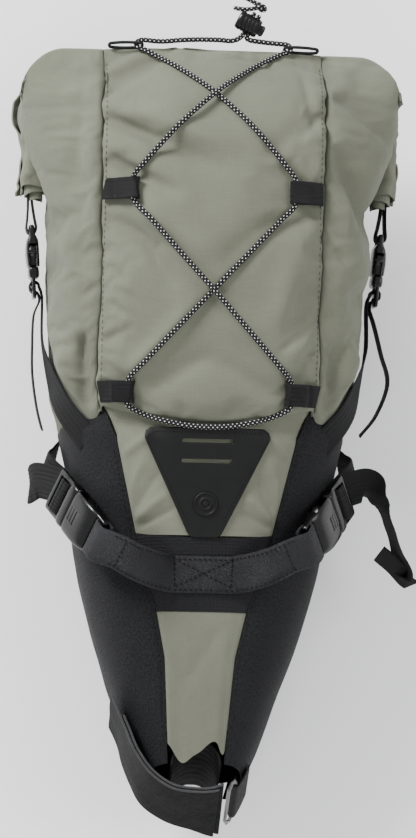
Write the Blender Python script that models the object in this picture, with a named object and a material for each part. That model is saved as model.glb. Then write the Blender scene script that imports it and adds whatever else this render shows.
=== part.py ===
"""Roll-top bikepacking saddle bag, as a bench assembly of panels, webbing, buckles and cord.

The bag lies on its underside. +Y runs from the seat-post end to the roll top, +Z is up through the
top face and +X is to the right of someone who looks down on it with the roll top away from them.
The origin is the middle of the flat underside. Lengths are in metres.
"""

import math

import bmesh
import bpy
from mathutils import Matrix, Vector

# ---------------------------------------------------------------- driving dimensions

# y, half width, underside height, top height and forward lean of the stuffed bag's sections
STATIONS = (
    (-0.272, 0.0325, 0.044, 0.0965, 0.55),
    (-0.216, 0.0545, 0.017, 0.112, 0.36),
    (-0.161, 0.0765, 0.002, 0.126, 0.12),
    (-0.107, 0.0885, -0.004, 0.138, 0.0),
    (-0.075, 0.0915, -0.004, 0.145, 0.0),
    (-0.025, 0.1025, -0.004, 0.156, 0.0),
    (0.043, 0.1090, -0.004, 0.168, 0.0),
    (0.110, 0.1095, -0.003, 0.171, 0.0),
    (0.150, 0.1085, 0.034, 0.168, 0.0),
    (0.180, 0.1085, 0.080, 0.157, 0.0),
    (0.199, 0.1100, 0.113, 0.143, 0.0),
    (0.216, 0.1120, 0.1225, 0.131, 0.0),
)
SQUARENESS = 2.8  # exponent of the superellipse that every section is
GAP = 0.0004  # between pieces that touch on the real bag
FABRIC = 0.0016  # thickness of the coated fabric panels
UNDERSIDE_ANGLE = math.radians(52)  # where the side panels meet the underside panel

SACK_SEAM = 0.075  # half width of the sack's centre panel
SEAM_MARKS = (  # y and half width of the centre panels along the holster
    (-0.272, 0.0195),
    (-0.200, 0.0245),
    (-0.165, 0.0320),
    (-0.115, 0.0475),
    (-0.050, 0.0625),
    (-0.030, SACK_SEAM),
)
NOSE_Y = -0.272
CRADLE_Y = -0.257  # where the centre panels stop, behind the seat post
PATCH_BAND_Y = -0.117  # lower edge of the upper green panel
LOWER_PANEL_Y = -0.169  # upper edge of the lower green panel
HOLSTER_TOP_Y = -0.044  # where the holster's centre panel meets the sack
SACK_END_Y = 0.216

POST_RADIUS = 0.0150  # room for a 27.2 mm seat post with the pad's nap round it
POST_Y = -0.2735
POST_TOP_Z = 0.0965
POST_LEAN = 0.62  # how far the seat post runs forward for each unit that it runs down

ROLL_Z = 0.0965
ROLL_HALF_HEIGHT = 0.017
ROLL_HALF_THICKNESS = 0.0102
ROLL_X = 0.1204
ROLL_Y = 0.2075
ROLL_CORNER = 0.024
ROLL_LEG_END_Y = 0.1205
ROLL_TURNS = 2.5

CORD_RADIUS = 0.00175
LOOP_EYE_X = 0.055
LOOP_WEBBING, LOOP_THICKNESS = 0.0155, 0.0011
EYE_CLEARANCE = 0.0007
MID_LOOP_Y = 0.115
LOW_LOOP_Y = -0.022
TIE_X, TIE_Y, TIE_Z = 0.052, 0.2195, 0.1335
UPPER_BOW = 0.0120  # how far the upper strands bow towards the roll top

SMALL_WEBBING, THIN_WEBBING = 0.020, 0.0014
LARGE_WEBBING, THICK_WEBBING = 0.025, 0.0017
RAIL_STRAP_Y = -0.144
RAIL_STRAP_WIDTH, RAIL_STRAP_THICKNESS = 0.026, 0.0022
RAIL_PAD_X = 0.021  # half length of the strap's flat, stitched middle
RAIL_PAD_ACROSS = (0.0, 0.976, 0.217)
LARGE_BUCKLE = 1.22  # scale of the 25 mm buckle against the 20 mm one


# ---------------------------------------------------------------- materials and meshes


def material(name, colour, roughness, metallic=0.0):
    made = bpy.data.materials.new(name)
    made.use_nodes = True
    shader = made.node_tree.nodes["Principled BSDF"]
    shader.inputs["Base Color"].default_value = (*colour, 1.0)
    shader.inputs["Roughness"].default_value = roughness
    shader.inputs["Metallic"].default_value = metallic
    made.diffuse_color = (*colour, 1.0)
    return made


def clear_scene():
    for obj in list(bpy.data.objects):
        bpy.data.objects.remove(obj, do_unlink=True)


clear_scene()
SAGE = material("sage_ripstop", (0.24, 0.245, 0.175), 0.75)
BLACK_FABRIC = material("black_fabric", (0.018, 0.018, 0.022), 0.85)
BLACK_RIPSTOP = material("black_ripstop", (0.014, 0.014, 0.017), 0.8)
WEBBING = material("webbing", (0.012, 0.012, 0.014), 0.8)
SYNTHETIC_LEATHER = material("synthetic_leather", (0.022, 0.022, 0.026), 0.6)
RUBBER = material("rubber_patch", (0.02, 0.021, 0.021), 0.55)
BUCKLE_PLASTIC = material("buckle_plastic", (0.008, 0.008, 0.009), 0.35)
CORD_BRAID = material("cord_braid", (0.02, 0.02, 0.02), 0.7)
HOOK_LOOP = material("hook_and_loop", (0.015, 0.015, 0.016), 0.95)
STEEL = material("steel", (0.55, 0.55, 0.56), 0.3, 1.0)
SHEET_PLASTIC = material("sheet_plastic", (0.05, 0.05, 0.05), 0.5)
LINER = material("liner_fabric", (0.45, 0.42, 0.36), 0.5)


def add_object(name, points, faces, mat, smooth=True):
    """One named object from points and faces, with its normals pointing out."""
    mesh = bpy.data.meshes.new(name)
    shape = bmesh.new()
    made = [shape.verts.new(p) for p in points]
    for face in faces:
        shape.faces.new([made[i] for i in face])
    bmesh.ops.recalc_face_normals(shape, faces=shape.faces)
    shape.to_mesh(mesh)
    shape.free()
    mesh.materials.append(mat)
    if smooth:
        mesh.shade_smooth()
        mesh.set_sharp_from_angle(angle=math.radians(35))
    obj = bpy.data.objects.new(name, mesh)
    bpy.context.scene.collection.objects.link(obj)
    return obj


def closed_shell(name, outer, inner, mat):
    """A closed solid between two grids of points of the same size, one above the other."""
    rows, cols = len(outer), len(outer[0])
    points = [p for grid in (outer, inner) for row in grid for p in row]
    below = rows * cols

    def at(r, c):
        return r * cols + c

    faces = []
    for r in range(rows - 1):
        for c in range(cols - 1):
            quad = (at(r, c), at(r, c + 1), at(r + 1, c + 1), at(r + 1, c))
            faces.append(quad)
            faces.append(tuple(below + i for i in reversed(quad)))
    rim = [at(0, c) for c in range(cols)]
    rim += [at(r, cols - 1) for r in range(1, rows)]
    rim += [at(rows - 1, c) for c in range(cols - 2, -1, -1)]
    rim += [at(r, 0) for r in range(rows - 2, 0, -1)]
    for i, here in enumerate(rim):
        after = rim[(i + 1) % len(rim)]
        faces.append((after, here, below + here, below + after))
    return add_object(name, points, faces, mat)


def extruded(name, outline, low, high, mat, place=None):
    """A prism over an outline of (x, y) points, from z low to high, moved by place."""
    place = place or Matrix.Identity(4)
    count = len(outline)
    points = [place @ Vector((x, y, low)) for x, y in outline]
    points += [place @ Vector((x, y, high)) for x, y in outline]
    faces = [tuple(range(count)), tuple(range(count, 2 * count))]
    for i in range(count):
        j = (i + 1) % count
        faces.append((i, j, count + j, count + i))
    return add_object(name, points, faces, mat)


def block(name, low, high, mat, place=None):
    """A box between two corners, moved by place."""
    outline = ((low[0], low[1]), (high[0], low[1]), (high[0], high[1]), (low[0], high[1]))
    return extruded(name, outline, low[2], high[2], mat, place)


def as_cutter(obj):
    obj.hide_render = True
    obj.display_type = "WIRE"
    return obj


def boolean(obj, other, operation):
    modifier = obj.modifiers.new(operation.title(), "BOOLEAN")
    modifier.operation = operation
    modifier.solver = "EXACT"
    modifier.object = as_cutter(other)


def bevel(obj, width, segments=1):
    modifier = obj.modifiers.new("Bevel", "BEVEL")
    modifier.width = width
    modifier.segments = segments
    modifier.limit_method = "ANGLE"


# ---------------------------------------------------------------- curves


def smooth_path(points, steps):
    """Points on a Catmull-Rom curve through the given ones, with steps parts between each two."""
    points = [Vector(p) for p in points]
    ends = [2 * points[0] - points[1]] + points + [2 * points[-1] - points[-2]]
    found = []
    for a, b, c, d in zip(ends, ends[1:], ends[2:], ends[3:]):
        for k in range(steps):
            t = k / steps
            found.append(
                0.5
                * (
                    2 * b
                    + (c - a) * t
                    + (2 * a - 5 * b + 4 * c - d) * t * t
                    + (3 * b - a - 3 * c + d) * t * t * t
                )
            )
    return found + [points[-1]]


def width_vectors(path, start, end, turn):
    """Width directions along a path: start until the first share of turn, end from the second."""
    lengths = [0.0]
    for a, b in zip(path, path[1:]):
        lengths.append(lengths[-1] + (b - a).length)
    found = []
    for along in lengths:
        share = (along / lengths[-1] - turn[0]) / (turn[1] - turn[0])
        found.append(Vector(start).lerp(Vector(end), min(max(share, 0.0), 1.0)))
    return found


def strip(name, path, widths, width, thickness, mat):
    """A strip of webbing along a path, with its width direction given at each point."""
    outer, inner = [], []
    for i, point in enumerate(path):
        tangent = (path[min(i + 1, len(path) - 1)] - path[max(i - 1, 0)]).normalized()
        side = Vector(widths[i])
        side = (side - side.dot(tangent) * tangent).normalized() * width / 2
        up = side.cross(tangent).normalized() * thickness / 2
        outer.append([point - side + up, point + side + up])
        inner.append([point - side - up, point + side - up])
    return closed_shell(name, outer, inner, mat)


def threaded_webbing(names, route, split, widths, width, thickness):
    """One webbing through a ladder: its taut run and loose tail, cut where they top the middle bar."""
    steps = 3
    path = smooth_path(route, steps)
    cut = split * steps
    taut, loose = path[: cut + 1], path[cut:]
    taut[-1] = taut[-1] + (taut[-2] - taut[-1]).normalized() * GAP
    at_anchor, in_ladder, at_end = widths
    taut_widths = width_vectors(taut, at_anchor, in_ladder, (0.0, 0.6))
    loose_widths = width_vectors(loose, in_ladder, at_end, (0.3, 1.0))
    strip(names[0], taut, taut_widths, width, thickness, WEBBING)
    strip(names[1], loose, loose_widths, width, thickness, WEBBING)


def tube(name, points, radius, mat, cyclic=False, resolution=2):
    """A round cord along points."""
    curve = bpy.data.curves.new(name, "CURVE")
    curve.dimensions = "3D"
    curve.bevel_depth = radius
    curve.bevel_resolution = resolution
    curve.use_fill_caps = not cyclic
    spline = curve.splines.new("POLY")
    spline.points.add(len(points) - 1)
    for spot, p in zip(spline.points, points):
        spot.co = (*p, 1.0)
    spline.use_cyclic_u = cyclic
    curve.materials.append(mat)
    obj = bpy.data.objects.new(name, curve)
    bpy.context.scene.collection.objects.link(obj)
    return obj


# ---------------------------------------------------------------- the stuffed bag's surface


def station(y):
    """Half width, underside height, top height and lean of the section at y."""
    rows = STATIONS
    if y <= rows[0][0]:
        return rows[0][1:]
    for i in range(len(rows) - 1):
        if y <= rows[i + 1][0]:
            break
    before, a, b, after = rows[max(i - 1, 0)], rows[i], rows[i + 1], rows[min(i + 2, len(rows) - 1)]
    span = b[0] - a[0]
    t = min((y - a[0]) / span, 1.0)
    found = []
    for k in range(1, 5):
        slope_a = (b[k] - before[k]) / (b[0] - before[0]) * span
        slope_b = (after[k] - a[k]) / (after[0] - a[0]) * span
        found.append(
            (2 * t**3 - 3 * t**2 + 1) * a[k]
            + (t**3 - 2 * t**2 + t) * slope_a
            + (3 * t**2 - 2 * t**3) * b[k]
            + (t**3 - t**2) * slope_b
        )
    return found


def power(value, exponent):
    return math.copysign(abs(value) ** exponent, value)


def skin(y, angle, lift=0.0):
    """The point of the section at y and angle, lifted off the surface. 90 degrees is the top."""
    half, low, high, lean = station(y)
    x = (half + lift) * power(math.cos(angle), 2 / SQUARENESS)
    z = (low + high) / 2 + ((high - low) / 2 + lift) * power(math.sin(angle), 2 / SQUARENESS)
    z = max(z, -lift)
    return Vector((x, y - lean * (high - z), z))


def angle_at(y, x, lift=0.0):
    """The angle at which the top of the section at y is x from the middle."""
    half = station(y)[0] + lift
    share = min(abs(x) / half, 1.0)
    angle = math.acos(share ** (SQUARENESS / 2))
    return angle if x >= 0 else math.pi - angle


def on_top(x, y, lift=0.0):
    """The point of the top face at x and y, lifted off the surface."""
    half, low, high, _ = station(y)
    share = (1 - min(abs(x) / half, 1.0) ** SQUARENESS) ** (1 / SQUARENESS)
    return Vector((x, y, (low + high) / 2 + (high - low) / 2 * share + lift))


def panel(name, y_span, angle_span, mat, rows, cols, lift=0.0, thickness=FABRIC):
    """A sewn panel of the bag. y_span and angle_span are functions that give its two edges."""

    def grid(offset):
        made = []
        for r in range(rows + 1):
            line = []
            for c in range(cols + 1):
                across = c / cols
                near, far = y_span(across)
                y = near + (far - near) * r / rows
                first, last = angle_span(y)
                line.append(skin(y, first + (last - first) * across, offset))
            made.append(line)
        return made

    return closed_shell(name, grid(lift), grid(lift - thickness), mat)


def seam_x(y):
    """Half width of the centre panels at y: constant on the sack, tapering along the holster."""
    if y >= SEAM_MARKS[-1][0]:
        return SACK_SEAM
    if y <= SEAM_MARKS[0][0]:
        return SEAM_MARKS[0][1]
    for (y0, x0), (y1, x1) in zip(SEAM_MARKS, SEAM_MARKS[1:]):
        if y <= y1:
            return x0 + (x1 - x0) * (y - y0) / (y1 - y0)
    return SACK_SEAM


def edge_gap(y):
    """Half of the gap between two neighbouring panels, as an angle."""
    return GAP / station(y)[0]


def centre_angles(y):
    edge = angle_at(y, seam_x(y)) + 3 * edge_gap(y)
    return edge, math.pi - edge


def side_angles(sign):
    """The angles between which the side panel on the right (1) or the left (-1) lies."""

    def span(y):
        top = angle_at(y, seam_x(y)) - 3 * edge_gap(y)
        bottom = -UNDERSIDE_ANGLE + 2 * edge_gap(y)
        if sign > 0:
            return bottom, top
        return math.pi - top, math.pi - bottom

    return span


def underside_angles(y):
    return -math.pi + UNDERSIDE_ANGLE + 2 * edge_gap(y), -UNDERSIDE_ANGLE - 2 * edge_gap(y)


def holster_edge(share):
    """y of the holster's upper edge, from the centre seam (0) down to the underside seam (1)."""
    return -0.034 - 0.018 * min(share / 0.35, 1.0)


def build_panels():
    panel("sack_centre_panel", lambda v: (HOLSTER_TOP_Y + GAP, SACK_END_Y), centre_angles, SAGE, 16, 10)
    panel(
        "holster_upper_centre_panel",
        lambda v: (PATCH_BAND_Y + GAP, HOLSTER_TOP_Y - GAP),
        centre_angles,
        SAGE,
        5,
        8,
    )
    panel(
        "strap_reinforcement_panel",
        lambda v: (LOWER_PANEL_Y + GAP, PATCH_BAND_Y - GAP),
        centre_angles,
        BLACK_RIPSTOP,
        4,
        6,
    )
    panel(
        "holster_lower_centre_panel",
        lambda v: (CRADLE_Y, LOWER_PANEL_Y - GAP),
        centre_angles,
        SAGE,
        6,
        6,
    )
    for sign, label in ((1, "right"), (-1, "left")):

        def down(across, sign=sign):
            return 1 - across if sign > 0 else across

        panel(
            f"sack_side_panel_{label}",
            lambda v: (holster_edge(down(v)) + GAP, SACK_END_Y),
            side_angles(sign),
            SAGE,
            16,
            8,
        )
        panel(
            f"holster_side_panel_{label}",
            lambda v: (NOSE_Y, holster_edge(down(v)) - GAP),
            side_angles(sign),
            BLACK_FABRIC,
            12,
            8,
        )
    panel("underside_panel", lambda v: (CRADLE_Y, SACK_END_Y), underside_angles, BLACK_FABRIC, 22, 8)
    panel(
        "underside_stiffener",
        lambda v: (-0.200, 0.095),
        lambda y: (math.radians(-112), math.radians(-68)),
        SHEET_PLASTIC,
        10,
        4,
        lift=-FABRIC - 4 * GAP,
        thickness=0.0012,
    )


def build_dry_bag():
    """The waterproof liner, stuffed: a loft that stays clear of the panels round it."""
    lift = -0.0062
    rings, sides = 14, 16
    start, end = -0.240, 0.186
    outer = []
    for r in range(rings + 1):
        y = start + (end - start) * r / rings
        outer.append([skin(y, 2 * math.pi * s / sides, lift) for s in range(sides)])
    points = [p for ring in outer for p in ring]
    faces = [tuple(range(sides)), tuple(rings * sides + s for s in range(sides))]
    for r in range(rings):
        for s in range(sides):
            t = (s + 1) % sides
            faces.append((r * sides + s, r * sides + t, (r + 1) * sides + t, (r + 1) * sides + s))
    add_object("inner_dry_bag", points, faces, LINER)


# ---------------------------------------------------------------- roll closure


def roll_path(inset=0.0):
    """The path of the rolled mouth seen from above: an inverted U with round corners."""
    path = [Vector((-ROLL_X, ROLL_LEG_END_Y + inset, 0)), Vector((-ROLL_X, 0.155, 0))]
    for k in range(5):
        angle = math.pi - k * math.pi / 8
        path.append(
            Vector(
                (
                    -ROLL_X + ROLL_CORNER + ROLL_CORNER * math.cos(angle),
                    ROLL_Y - ROLL_CORNER + ROLL_CORNER * math.sin(angle),
                    0,
                )
            )
        )
    path.append(Vector((-0.045, ROLL_Y, 0)))
    return path + [Vector((-p.x, p.y, 0)) for p in reversed(path)]


def sweep_roll(name, section, path, mat):
    """Sweeps a closed (outward, up) section along a level path and caps both ends."""
    rings = []
    for i, point in enumerate(path):
        tangent = (path[min(i + 1, len(path) - 1)] - path[max(i - 1, 0)]).normalized()
        outward = Vector((-tangent.y, tangent.x, 0))
        rings.append([point + outward * u + Vector((0, 0, ROLL_Z + w)) for u, w in section])
    count = len(section)
    points = [p for ring in rings for p in ring]
    last = (len(rings) - 1) * count
    faces = [tuple(range(count)), tuple(last + s for s in range(count))]
    for r in range(len(rings) - 1):
        for s in range(count):
            t = (s + 1) % count
            faces.append((r * count + s, r * count + t, (r + 1) * count + t, (r + 1) * count + s))
    return add_object(name, points, faces, mat)


def spiral(radius_start, radius_end, straight):
    """A flattened spiral: half circles, joined by straight runs of that half length."""
    found = []
    halves = int(2 * ROLL_TURNS)
    steps = 3
    for h in range(halves):
        for k in range(steps + 1):
            turn = h + k / steps
            radius = radius_start + (radius_end - radius_start) * turn / halves
            angle = math.pi * turn
            centre = straight if h % 2 == 0 else -straight
            found.append((radius * math.cos(angle), centre + radius * math.sin(angle)))
    return found


def build_roll():
    wall = 0.0015
    straight = ROLL_HALF_HEIGHT - ROLL_HALF_THICKNESS
    core = 0.0030
    outside = spiral(core + wall, ROLL_HALF_THICKNESS, straight)
    inside = spiral(core, ROLL_HALF_THICKNESS - wall, straight)
    sweep_roll("rolled_mouth", outside + inside[::-1], roll_path(), SAGE)
    half, tall = 0.0009, straight
    strip = ((half, -tall), (half, tall), (-half, tall), (-half, -tall))
    sweep_roll("closure_stiffener", strip, roll_path(0.002), SHEET_PLASTIC)


# ---------------------------------------------------------------- side-release buckles


def buckle_frame(mouth, towards_female, outward):
    """Local x runs from the male half to the female half, local z points away from the bag."""
    x = Vector(towards_female).normalized()
    z = Vector(outward)
    z = (z - z.dot(x) * x).normalized()
    y = z.cross(x)
    place = Matrix.Identity(4)
    for row in range(3):
        for col, axis in enumerate((x, y, z)):
            place[row][col] = axis[row]
        place[row][3] = mouth[row]
    return place


PRONG_OUTLINE = (
    (0.0, 6.4),
    (0.0, 9.4),
    (8.8, 10.8),
    (8.8, 13.2),
    (10.5, 13.5),
    (15.2, 11.2),
    (17.4, 9.4),
    (17.4, 8.2),
    (9.0, 8.2),
)


def plastic_block(name, low, high, place):
    """A block of buckle plastic between two corners in millimetres."""
    corners = [[value * 0.001 for value in corner] for corner in (low, high)]
    return block(name, corners[0], corners[1], BUCKLE_PLASTIC, place)


def build_buckle(prefix, place, scale):
    """Female and male halves and the two prongs of a side-release buckle, 20 mm at scale 1."""
    size = place @ Matrix.Scale(scale, 4)

    female = plastic_block(f"{prefix}_female", (0, -13.5, -4.5), (29, 13.5, 4.5), size)
    bevel(female, 0.0013 * scale)
    cutters = (
        ("cavity", (-1, -11.7, -2.8), (19.5, 11.7, 2.8)),
        ("windows", (-2, -15, -2.795), (15.8, 15, 2.795)),
        ("slot", (21.5, -11, -6), (26, 11, 6)),
        ("bar_top", (20.9, -15, 2), (31, 15, 6)),
        ("bar_bottom", (20.9, -15, -6), (31, 15, -2)),
    )
    for label, low, high in cutters:
        boolean(female, plastic_block(f"{prefix}_{label}", low, high, size), "DIFFERENCE")

    male = plastic_block(f"{prefix}_male", (-8, -13.5, -3.8), (-0.3, 13.5, 3.8), size)
    bevel(male, 0.0012 * scale)
    boolean(male, plastic_block(f"{prefix}_ladder", (-22, -13.5, -1), (-7, 13.5, 2), size), "UNION")
    boolean(male, plastic_block(f"{prefix}_guide", (-2, -1.7, -2.3), (15, 1.7, 2.3), size), "UNION")
    for label, near, far in (("inner_slot", -12.5, -8.4), ("outer_slot", -19.0, -15.5)):
        hole = plastic_block(f"{prefix}_{label}", (near, -10.6, -6), (far, 10.6, 6), size)
        boolean(male, hole, "DIFFERENCE")

    for sign, side in ((1, "a"), (-1, "b")):
        outline = [(x * 0.001, y * sign * 0.001) for x, y in PRONG_OUTLINE]
        extruded(f"{prefix}_prong_{side}", outline, -0.0022, 0.0022, BUCKLE_PLASTIC, size)


def local_route(place, scale, route):
    """World points of a route given as (x, z) in millimetres in a buckle's own frame."""
    return [place @ (Vector((x, 0.0, z)) * 0.001 * scale) for x, z in route]


# The way of a strap through the ladder of the male half: in from the anchor, over the middle bar, out.
LADDER_IN = ((-24.0, -4.9), (-19.0, -4.7), (-16.5, -4.3), (-14.0, -3.3), (-11.8, -2.9), (-10.4, -1.2))
LADDER_OVER = ((-10.2, 1.0), (-11.5, 2.75), (-14.0, 3.2), (-16.3, 2.7), (-17.3, 0.9), (-17.5, -1.0))
LADDER_OUT = ((-19.2, -2.5), (-24.0, -2.8))
# The way of a sewn loop round the bar of the female half.
BAR_LOOP = ((33.0, 2.6), (27.5, 3.4), (24.2, 2.4), (23.3, 0.0), (24.2, -2.4), (27.5, -3.4), (33.0, -2.6))


RAIL_LOOP = ((33.0, 3.0), (27.5, 3.7), (24.0, 2.6), (23.1, 0.0), (24.0, -2.6), (27.5, -3.7), (32.0, -3.4))
LADDER_SPLIT = len(LADDER_IN) + 2

# The right-hand courses of the webbing before and after its ladder. The left-hand ones mirror them.
COMPRESSION_ANCHOR = (
    (0.0835, -0.050, 0.1322),
    (0.0975, -0.032, 0.1235),
    (0.1065, -0.010, 0.111),
    (0.1125, 0.015, 0.0995),
)
COMPRESSION_TAIL_RIGHT = (
    (0.1188, 0.034, 0.092),
    (0.1244, 0.014, 0.089),
    (0.1300, -0.006, 0.084),
    (0.1230, -0.028, 0.079),
    (0.1120, -0.043, 0.0755),
)
COMPRESSION_TAIL_LEFT = (
    (0.1188, 0.034, 0.092),
    (0.1192, 0.014, 0.089),
    (0.1185, -0.006, 0.084),
    (0.1150, -0.028, 0.079),
    (0.1110, -0.043, 0.0755),
)
RAIL_ANCHOR = ((0.0998, -0.0600, 0.046), (0.1050, -0.0655, 0.062), (0.1088, -0.0710, 0.078))
RAIL_ARCH = ((0.033, -0.1415, 0.1394), (0.047, -0.1365, 0.1455), (0.060, -0.130, 0.1465))
RAIL_TAIL_RIGHT = (
    (0.1165, -0.078, 0.0835),
    (0.1265, -0.089, 0.079),
    (0.1345, -0.107, 0.074),
    (0.1415, -0.126, 0.069),
    (0.1475, -0.139, 0.066),
    (0.1462, -0.1405, 0.0645),
    (0.1370, -0.131, 0.063),
    (0.1285, -0.124, 0.062),
)
RAIL_TAIL_LEFT = (
    (-0.1125, -0.0792, 0.0800),
    (-0.1168, -0.0812, 0.0730),
    (-0.1178, -0.0828, 0.0680),
    (-0.1155, -0.0815, 0.0620),
    (-0.1100, -0.0760, 0.0560),
)


def mirrored(points, sign):
    return [Vector((p[0] * sign, p[1], p[2])) for p in points]


def build_side_closures():
    """The buckle, tab and compression strap that hold each end of the roll down."""
    for sign, label in ((1, "right"), (-1, "left")):
        mouth = (0.1198 * sign, 0.068, 0.0945)
        place = buckle_frame(mouth, (0.075 * sign, 1.0, 0.05), (sign, -0.075, 0))
        build_buckle(f"roll_buckle_{label}", place, 1.0)
        across = place.to_3x3() @ Vector((0, 1, 0))
        tab = ((52.0, 1.1), (42.0, 1.6)) + BAR_LOOP + ((42.0, -1.6), (52.0, -1.1))
        path = smooth_path(local_route(place, 1.0, tab), 2)
        strip(f"roll_tab_{label}", path, [across] * len(path), SMALL_WEBBING, THIN_WEBBING, WEBBING)

        anchor = mirrored(COMPRESSION_ANCHOR, sign)
        tail = mirrored(COMPRESSION_TAIL_RIGHT if sign > 0 else COMPRESSION_TAIL_LEFT, sign)
        threaded = local_route(place, 1.0, LADDER_IN + LADDER_OVER + LADDER_OUT)
        at_anchor = Vector((-0.68 * sign, 0.49, 0.51)) * math.copysign(1, across.z)
        threaded_webbing(
            (f"compression_strap_{label}", f"compression_tail_{label}"),
            anchor + threaded + tail,
            len(anchor) + LADDER_SPLIT,
            (at_anchor, across, across),
            SMALL_WEBBING,
            THIN_WEBBING,
        )


def build_rail_straps():
    """The strap over the saddle rails, its two buckles and the webbing that tightens them."""
    halves = []
    for sign, label in ((1, "right"), (-1, "left")):
        mouth = (0.0887 * sign, -0.1010, 0.1148)
        place = buckle_frame(mouth, (-0.469 * sign, -0.605, 0.643), (0.807 * sign, 0.0, 0.59))
        build_buckle(f"rail_buckle_{label}", place, LARGE_BUCKLE)
        across = place.to_3x3() @ Vector((0, 1, 0))
        across = across * math.copysign(1, across.y)

        level = on_top(0, RAIL_STRAP_Y).z + 0.0011 + GAP
        over = [Vector((RAIL_PAD_X * sign, RAIL_STRAP_Y, level))] + mirrored(RAIL_ARCH, sign)
        path = smooth_path(over + local_route(place, LARGE_BUCKLE, RAIL_LOOP), 3)
        halves.append((path, width_vectors(path, RAIL_PAD_ACROSS, across, (0.03, 0.5))))

        anchor = mirrored(RAIL_ANCHOR, sign)
        threaded = local_route(place, LARGE_BUCKLE, LADDER_IN + LADDER_OVER + LADDER_OUT)
        tail = [Vector(p) for p in (RAIL_TAIL_RIGHT if sign > 0 else RAIL_TAIL_LEFT)]
        at_end = (0.05, 0.45, 0.9) if sign > 0 else (-0.12, 0.95, 0.25)
        threaded_webbing(
            (f"rail_webbing_{label}", f"rail_webbing_tail_{label}"),
            anchor + threaded + tail,
            len(anchor) + LADDER_SPLIT,
            ((-0.1 * sign, 0.75, 0.6), across, at_end),
            LARGE_WEBBING,
            THICK_WEBBING,
        )
    (right, right_across), (left, left_across) = halves
    path, widths = left[::-1] + right, left_across[::-1] + right_across
    strip("rail_strap", path, widths, RAIL_STRAP_WIDTH, RAIL_STRAP_THICKNESS, SYNTHETIC_LEATHER)


# ---------------------------------------------------------------- light patch


def rounded_outline(corners, radius, steps=4):
    """The corners of a convex outline, each rounded by an arc."""
    found = []
    count = len(corners)
    for i, corner in enumerate(corners):
        here = Vector(corner)
        before = (Vector(corners[i - 1]) - here).normalized()
        after = (Vector(corners[(i + 1) % count]) - here).normalized()
        half = before.angle(after) / 2
        reach = radius / math.tan(half)
        centre = here + (before + after).normalized() * radius / math.sin(half)
        start = here + before * reach - centre
        end = here + after * reach - centre
        for k in range(steps + 1):
            share = k / steps
            spoke = (start.lerp(end, share)).normalized() * radius
            found.append(tuple(centre + spoke))
    return found


PATCH_TOP_Y, PATCH_TIP_Y = -0.0445, -0.1185
PATCH_SLOT_YS = (-0.0535, -0.0675)
EMBLEM_RADIUS, EMBLEM_RISE = 0.0085, 0.0235


def patch_frame():
    """The flat plane of the light patch: tilted along the bag's top profile, just clear of it."""
    top, tip = on_top(0, PATCH_TOP_Y), on_top(0, PATCH_TIP_Y)
    along = (top - tip).normalized()
    across = Vector((1, 0, 0))
    normal = across.cross(along)
    clear = 0.0
    for k in range(9):
        y = PATCH_TIP_Y + (PATCH_TOP_Y - PATCH_TIP_Y) * k / 8
        clear = max(clear, (on_top(0, y) - tip).dot(normal))
    place = Matrix.Identity(4)
    origin = tip + normal * (clear + GAP)
    for row in range(3):
        for col, axis in enumerate((across, along, normal)):
            place[row][col] = axis[row]
        place[row][3] = origin[row]
    return place, (top - tip).length


def build_light_patch():
    place, length = patch_frame()
    half = 0.0465
    corners = ((-half, length), (half, length), (0.0105, 0.0), (-0.0105, 0.0))
    patch = extruded("light_patch", rounded_outline(corners[::-1], 0.006), 0.0, 0.002, RUBBER, place)
    for k, y in enumerate(PATCH_SLOT_YS):
        at = length - (PATCH_TOP_Y - y)
        low, high = (-0.0175, at - 0.0014, -0.01), (0.0175, at + 0.0014, 0.01)
        boolean(patch, block(f"slot_{k}", low, high, RUBBER, place), "DIFFERENCE")
    turns = [k * math.pi / 12 for k in range(24)]
    disc = [(EMBLEM_RADIUS * math.cos(a), EMBLEM_RISE + EMBLEM_RADIUS * math.sin(a)) for a in turns]
    extruded("patch_emblem", disc, 0.002 + 0.0003, 0.0034, RUBBER, place)


# ---------------------------------------------------------------- elastic cord and its holders


def build_loops():
    """The four webbing loops sewn into the seams, each with an eye for the elastic cord."""
    eye = CORD_RADIUS + EYE_CLEARANCE + LOOP_THICKNESS / 2
    for y, row in ((MID_LOOP_Y, "mid"), (LOW_LOOP_Y, "low")):
        for sign, label in ((1, "right"), (-1, "left")):
            at_eye = on_top(LOOP_EYE_X * sign, y, loop_eye_lift())
            at_seam = on_top((SACK_SEAM - 0.0005) * sign, y)
            half_way = on_top(0.0645 * sign, y)
            ahead, behind = (on_top(LOOP_EYE_X * sign, y + step) for step in (0.01, -0.01))
            side = (ahead - behind).normalized()
            route = [at_seam + Vector((0, 0, 0.0015)), half_way + Vector((0, 0, 0.0014))]
            for k in range(7):
                angle = -math.pi / 2 - k * math.pi / 6
                route.append(at_eye + Vector((math.cos(angle) * sign, 0, math.sin(angle))) * eye)
            route.append(half_way + Vector((0, 0, 0.0054)))
            route.append(at_seam + Vector((0, 0, 0.0038)))
            path = smooth_path(route, 2)
            name = f"cord_loop_{row}_{label}"
            strip(name, path, [side] * len(path), LOOP_WEBBING, LOOP_THICKNESS, WEBBING)


def loop_eye_lift():
    return GAP + LOOP_THICKNESS + EYE_CLEARANCE + CORD_RADIUS + 0.0004


CORD_LIFT = CORD_RADIUS + 0.0009
CORD_OVER = 2 * CORD_RADIUS + 0.0006


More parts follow.
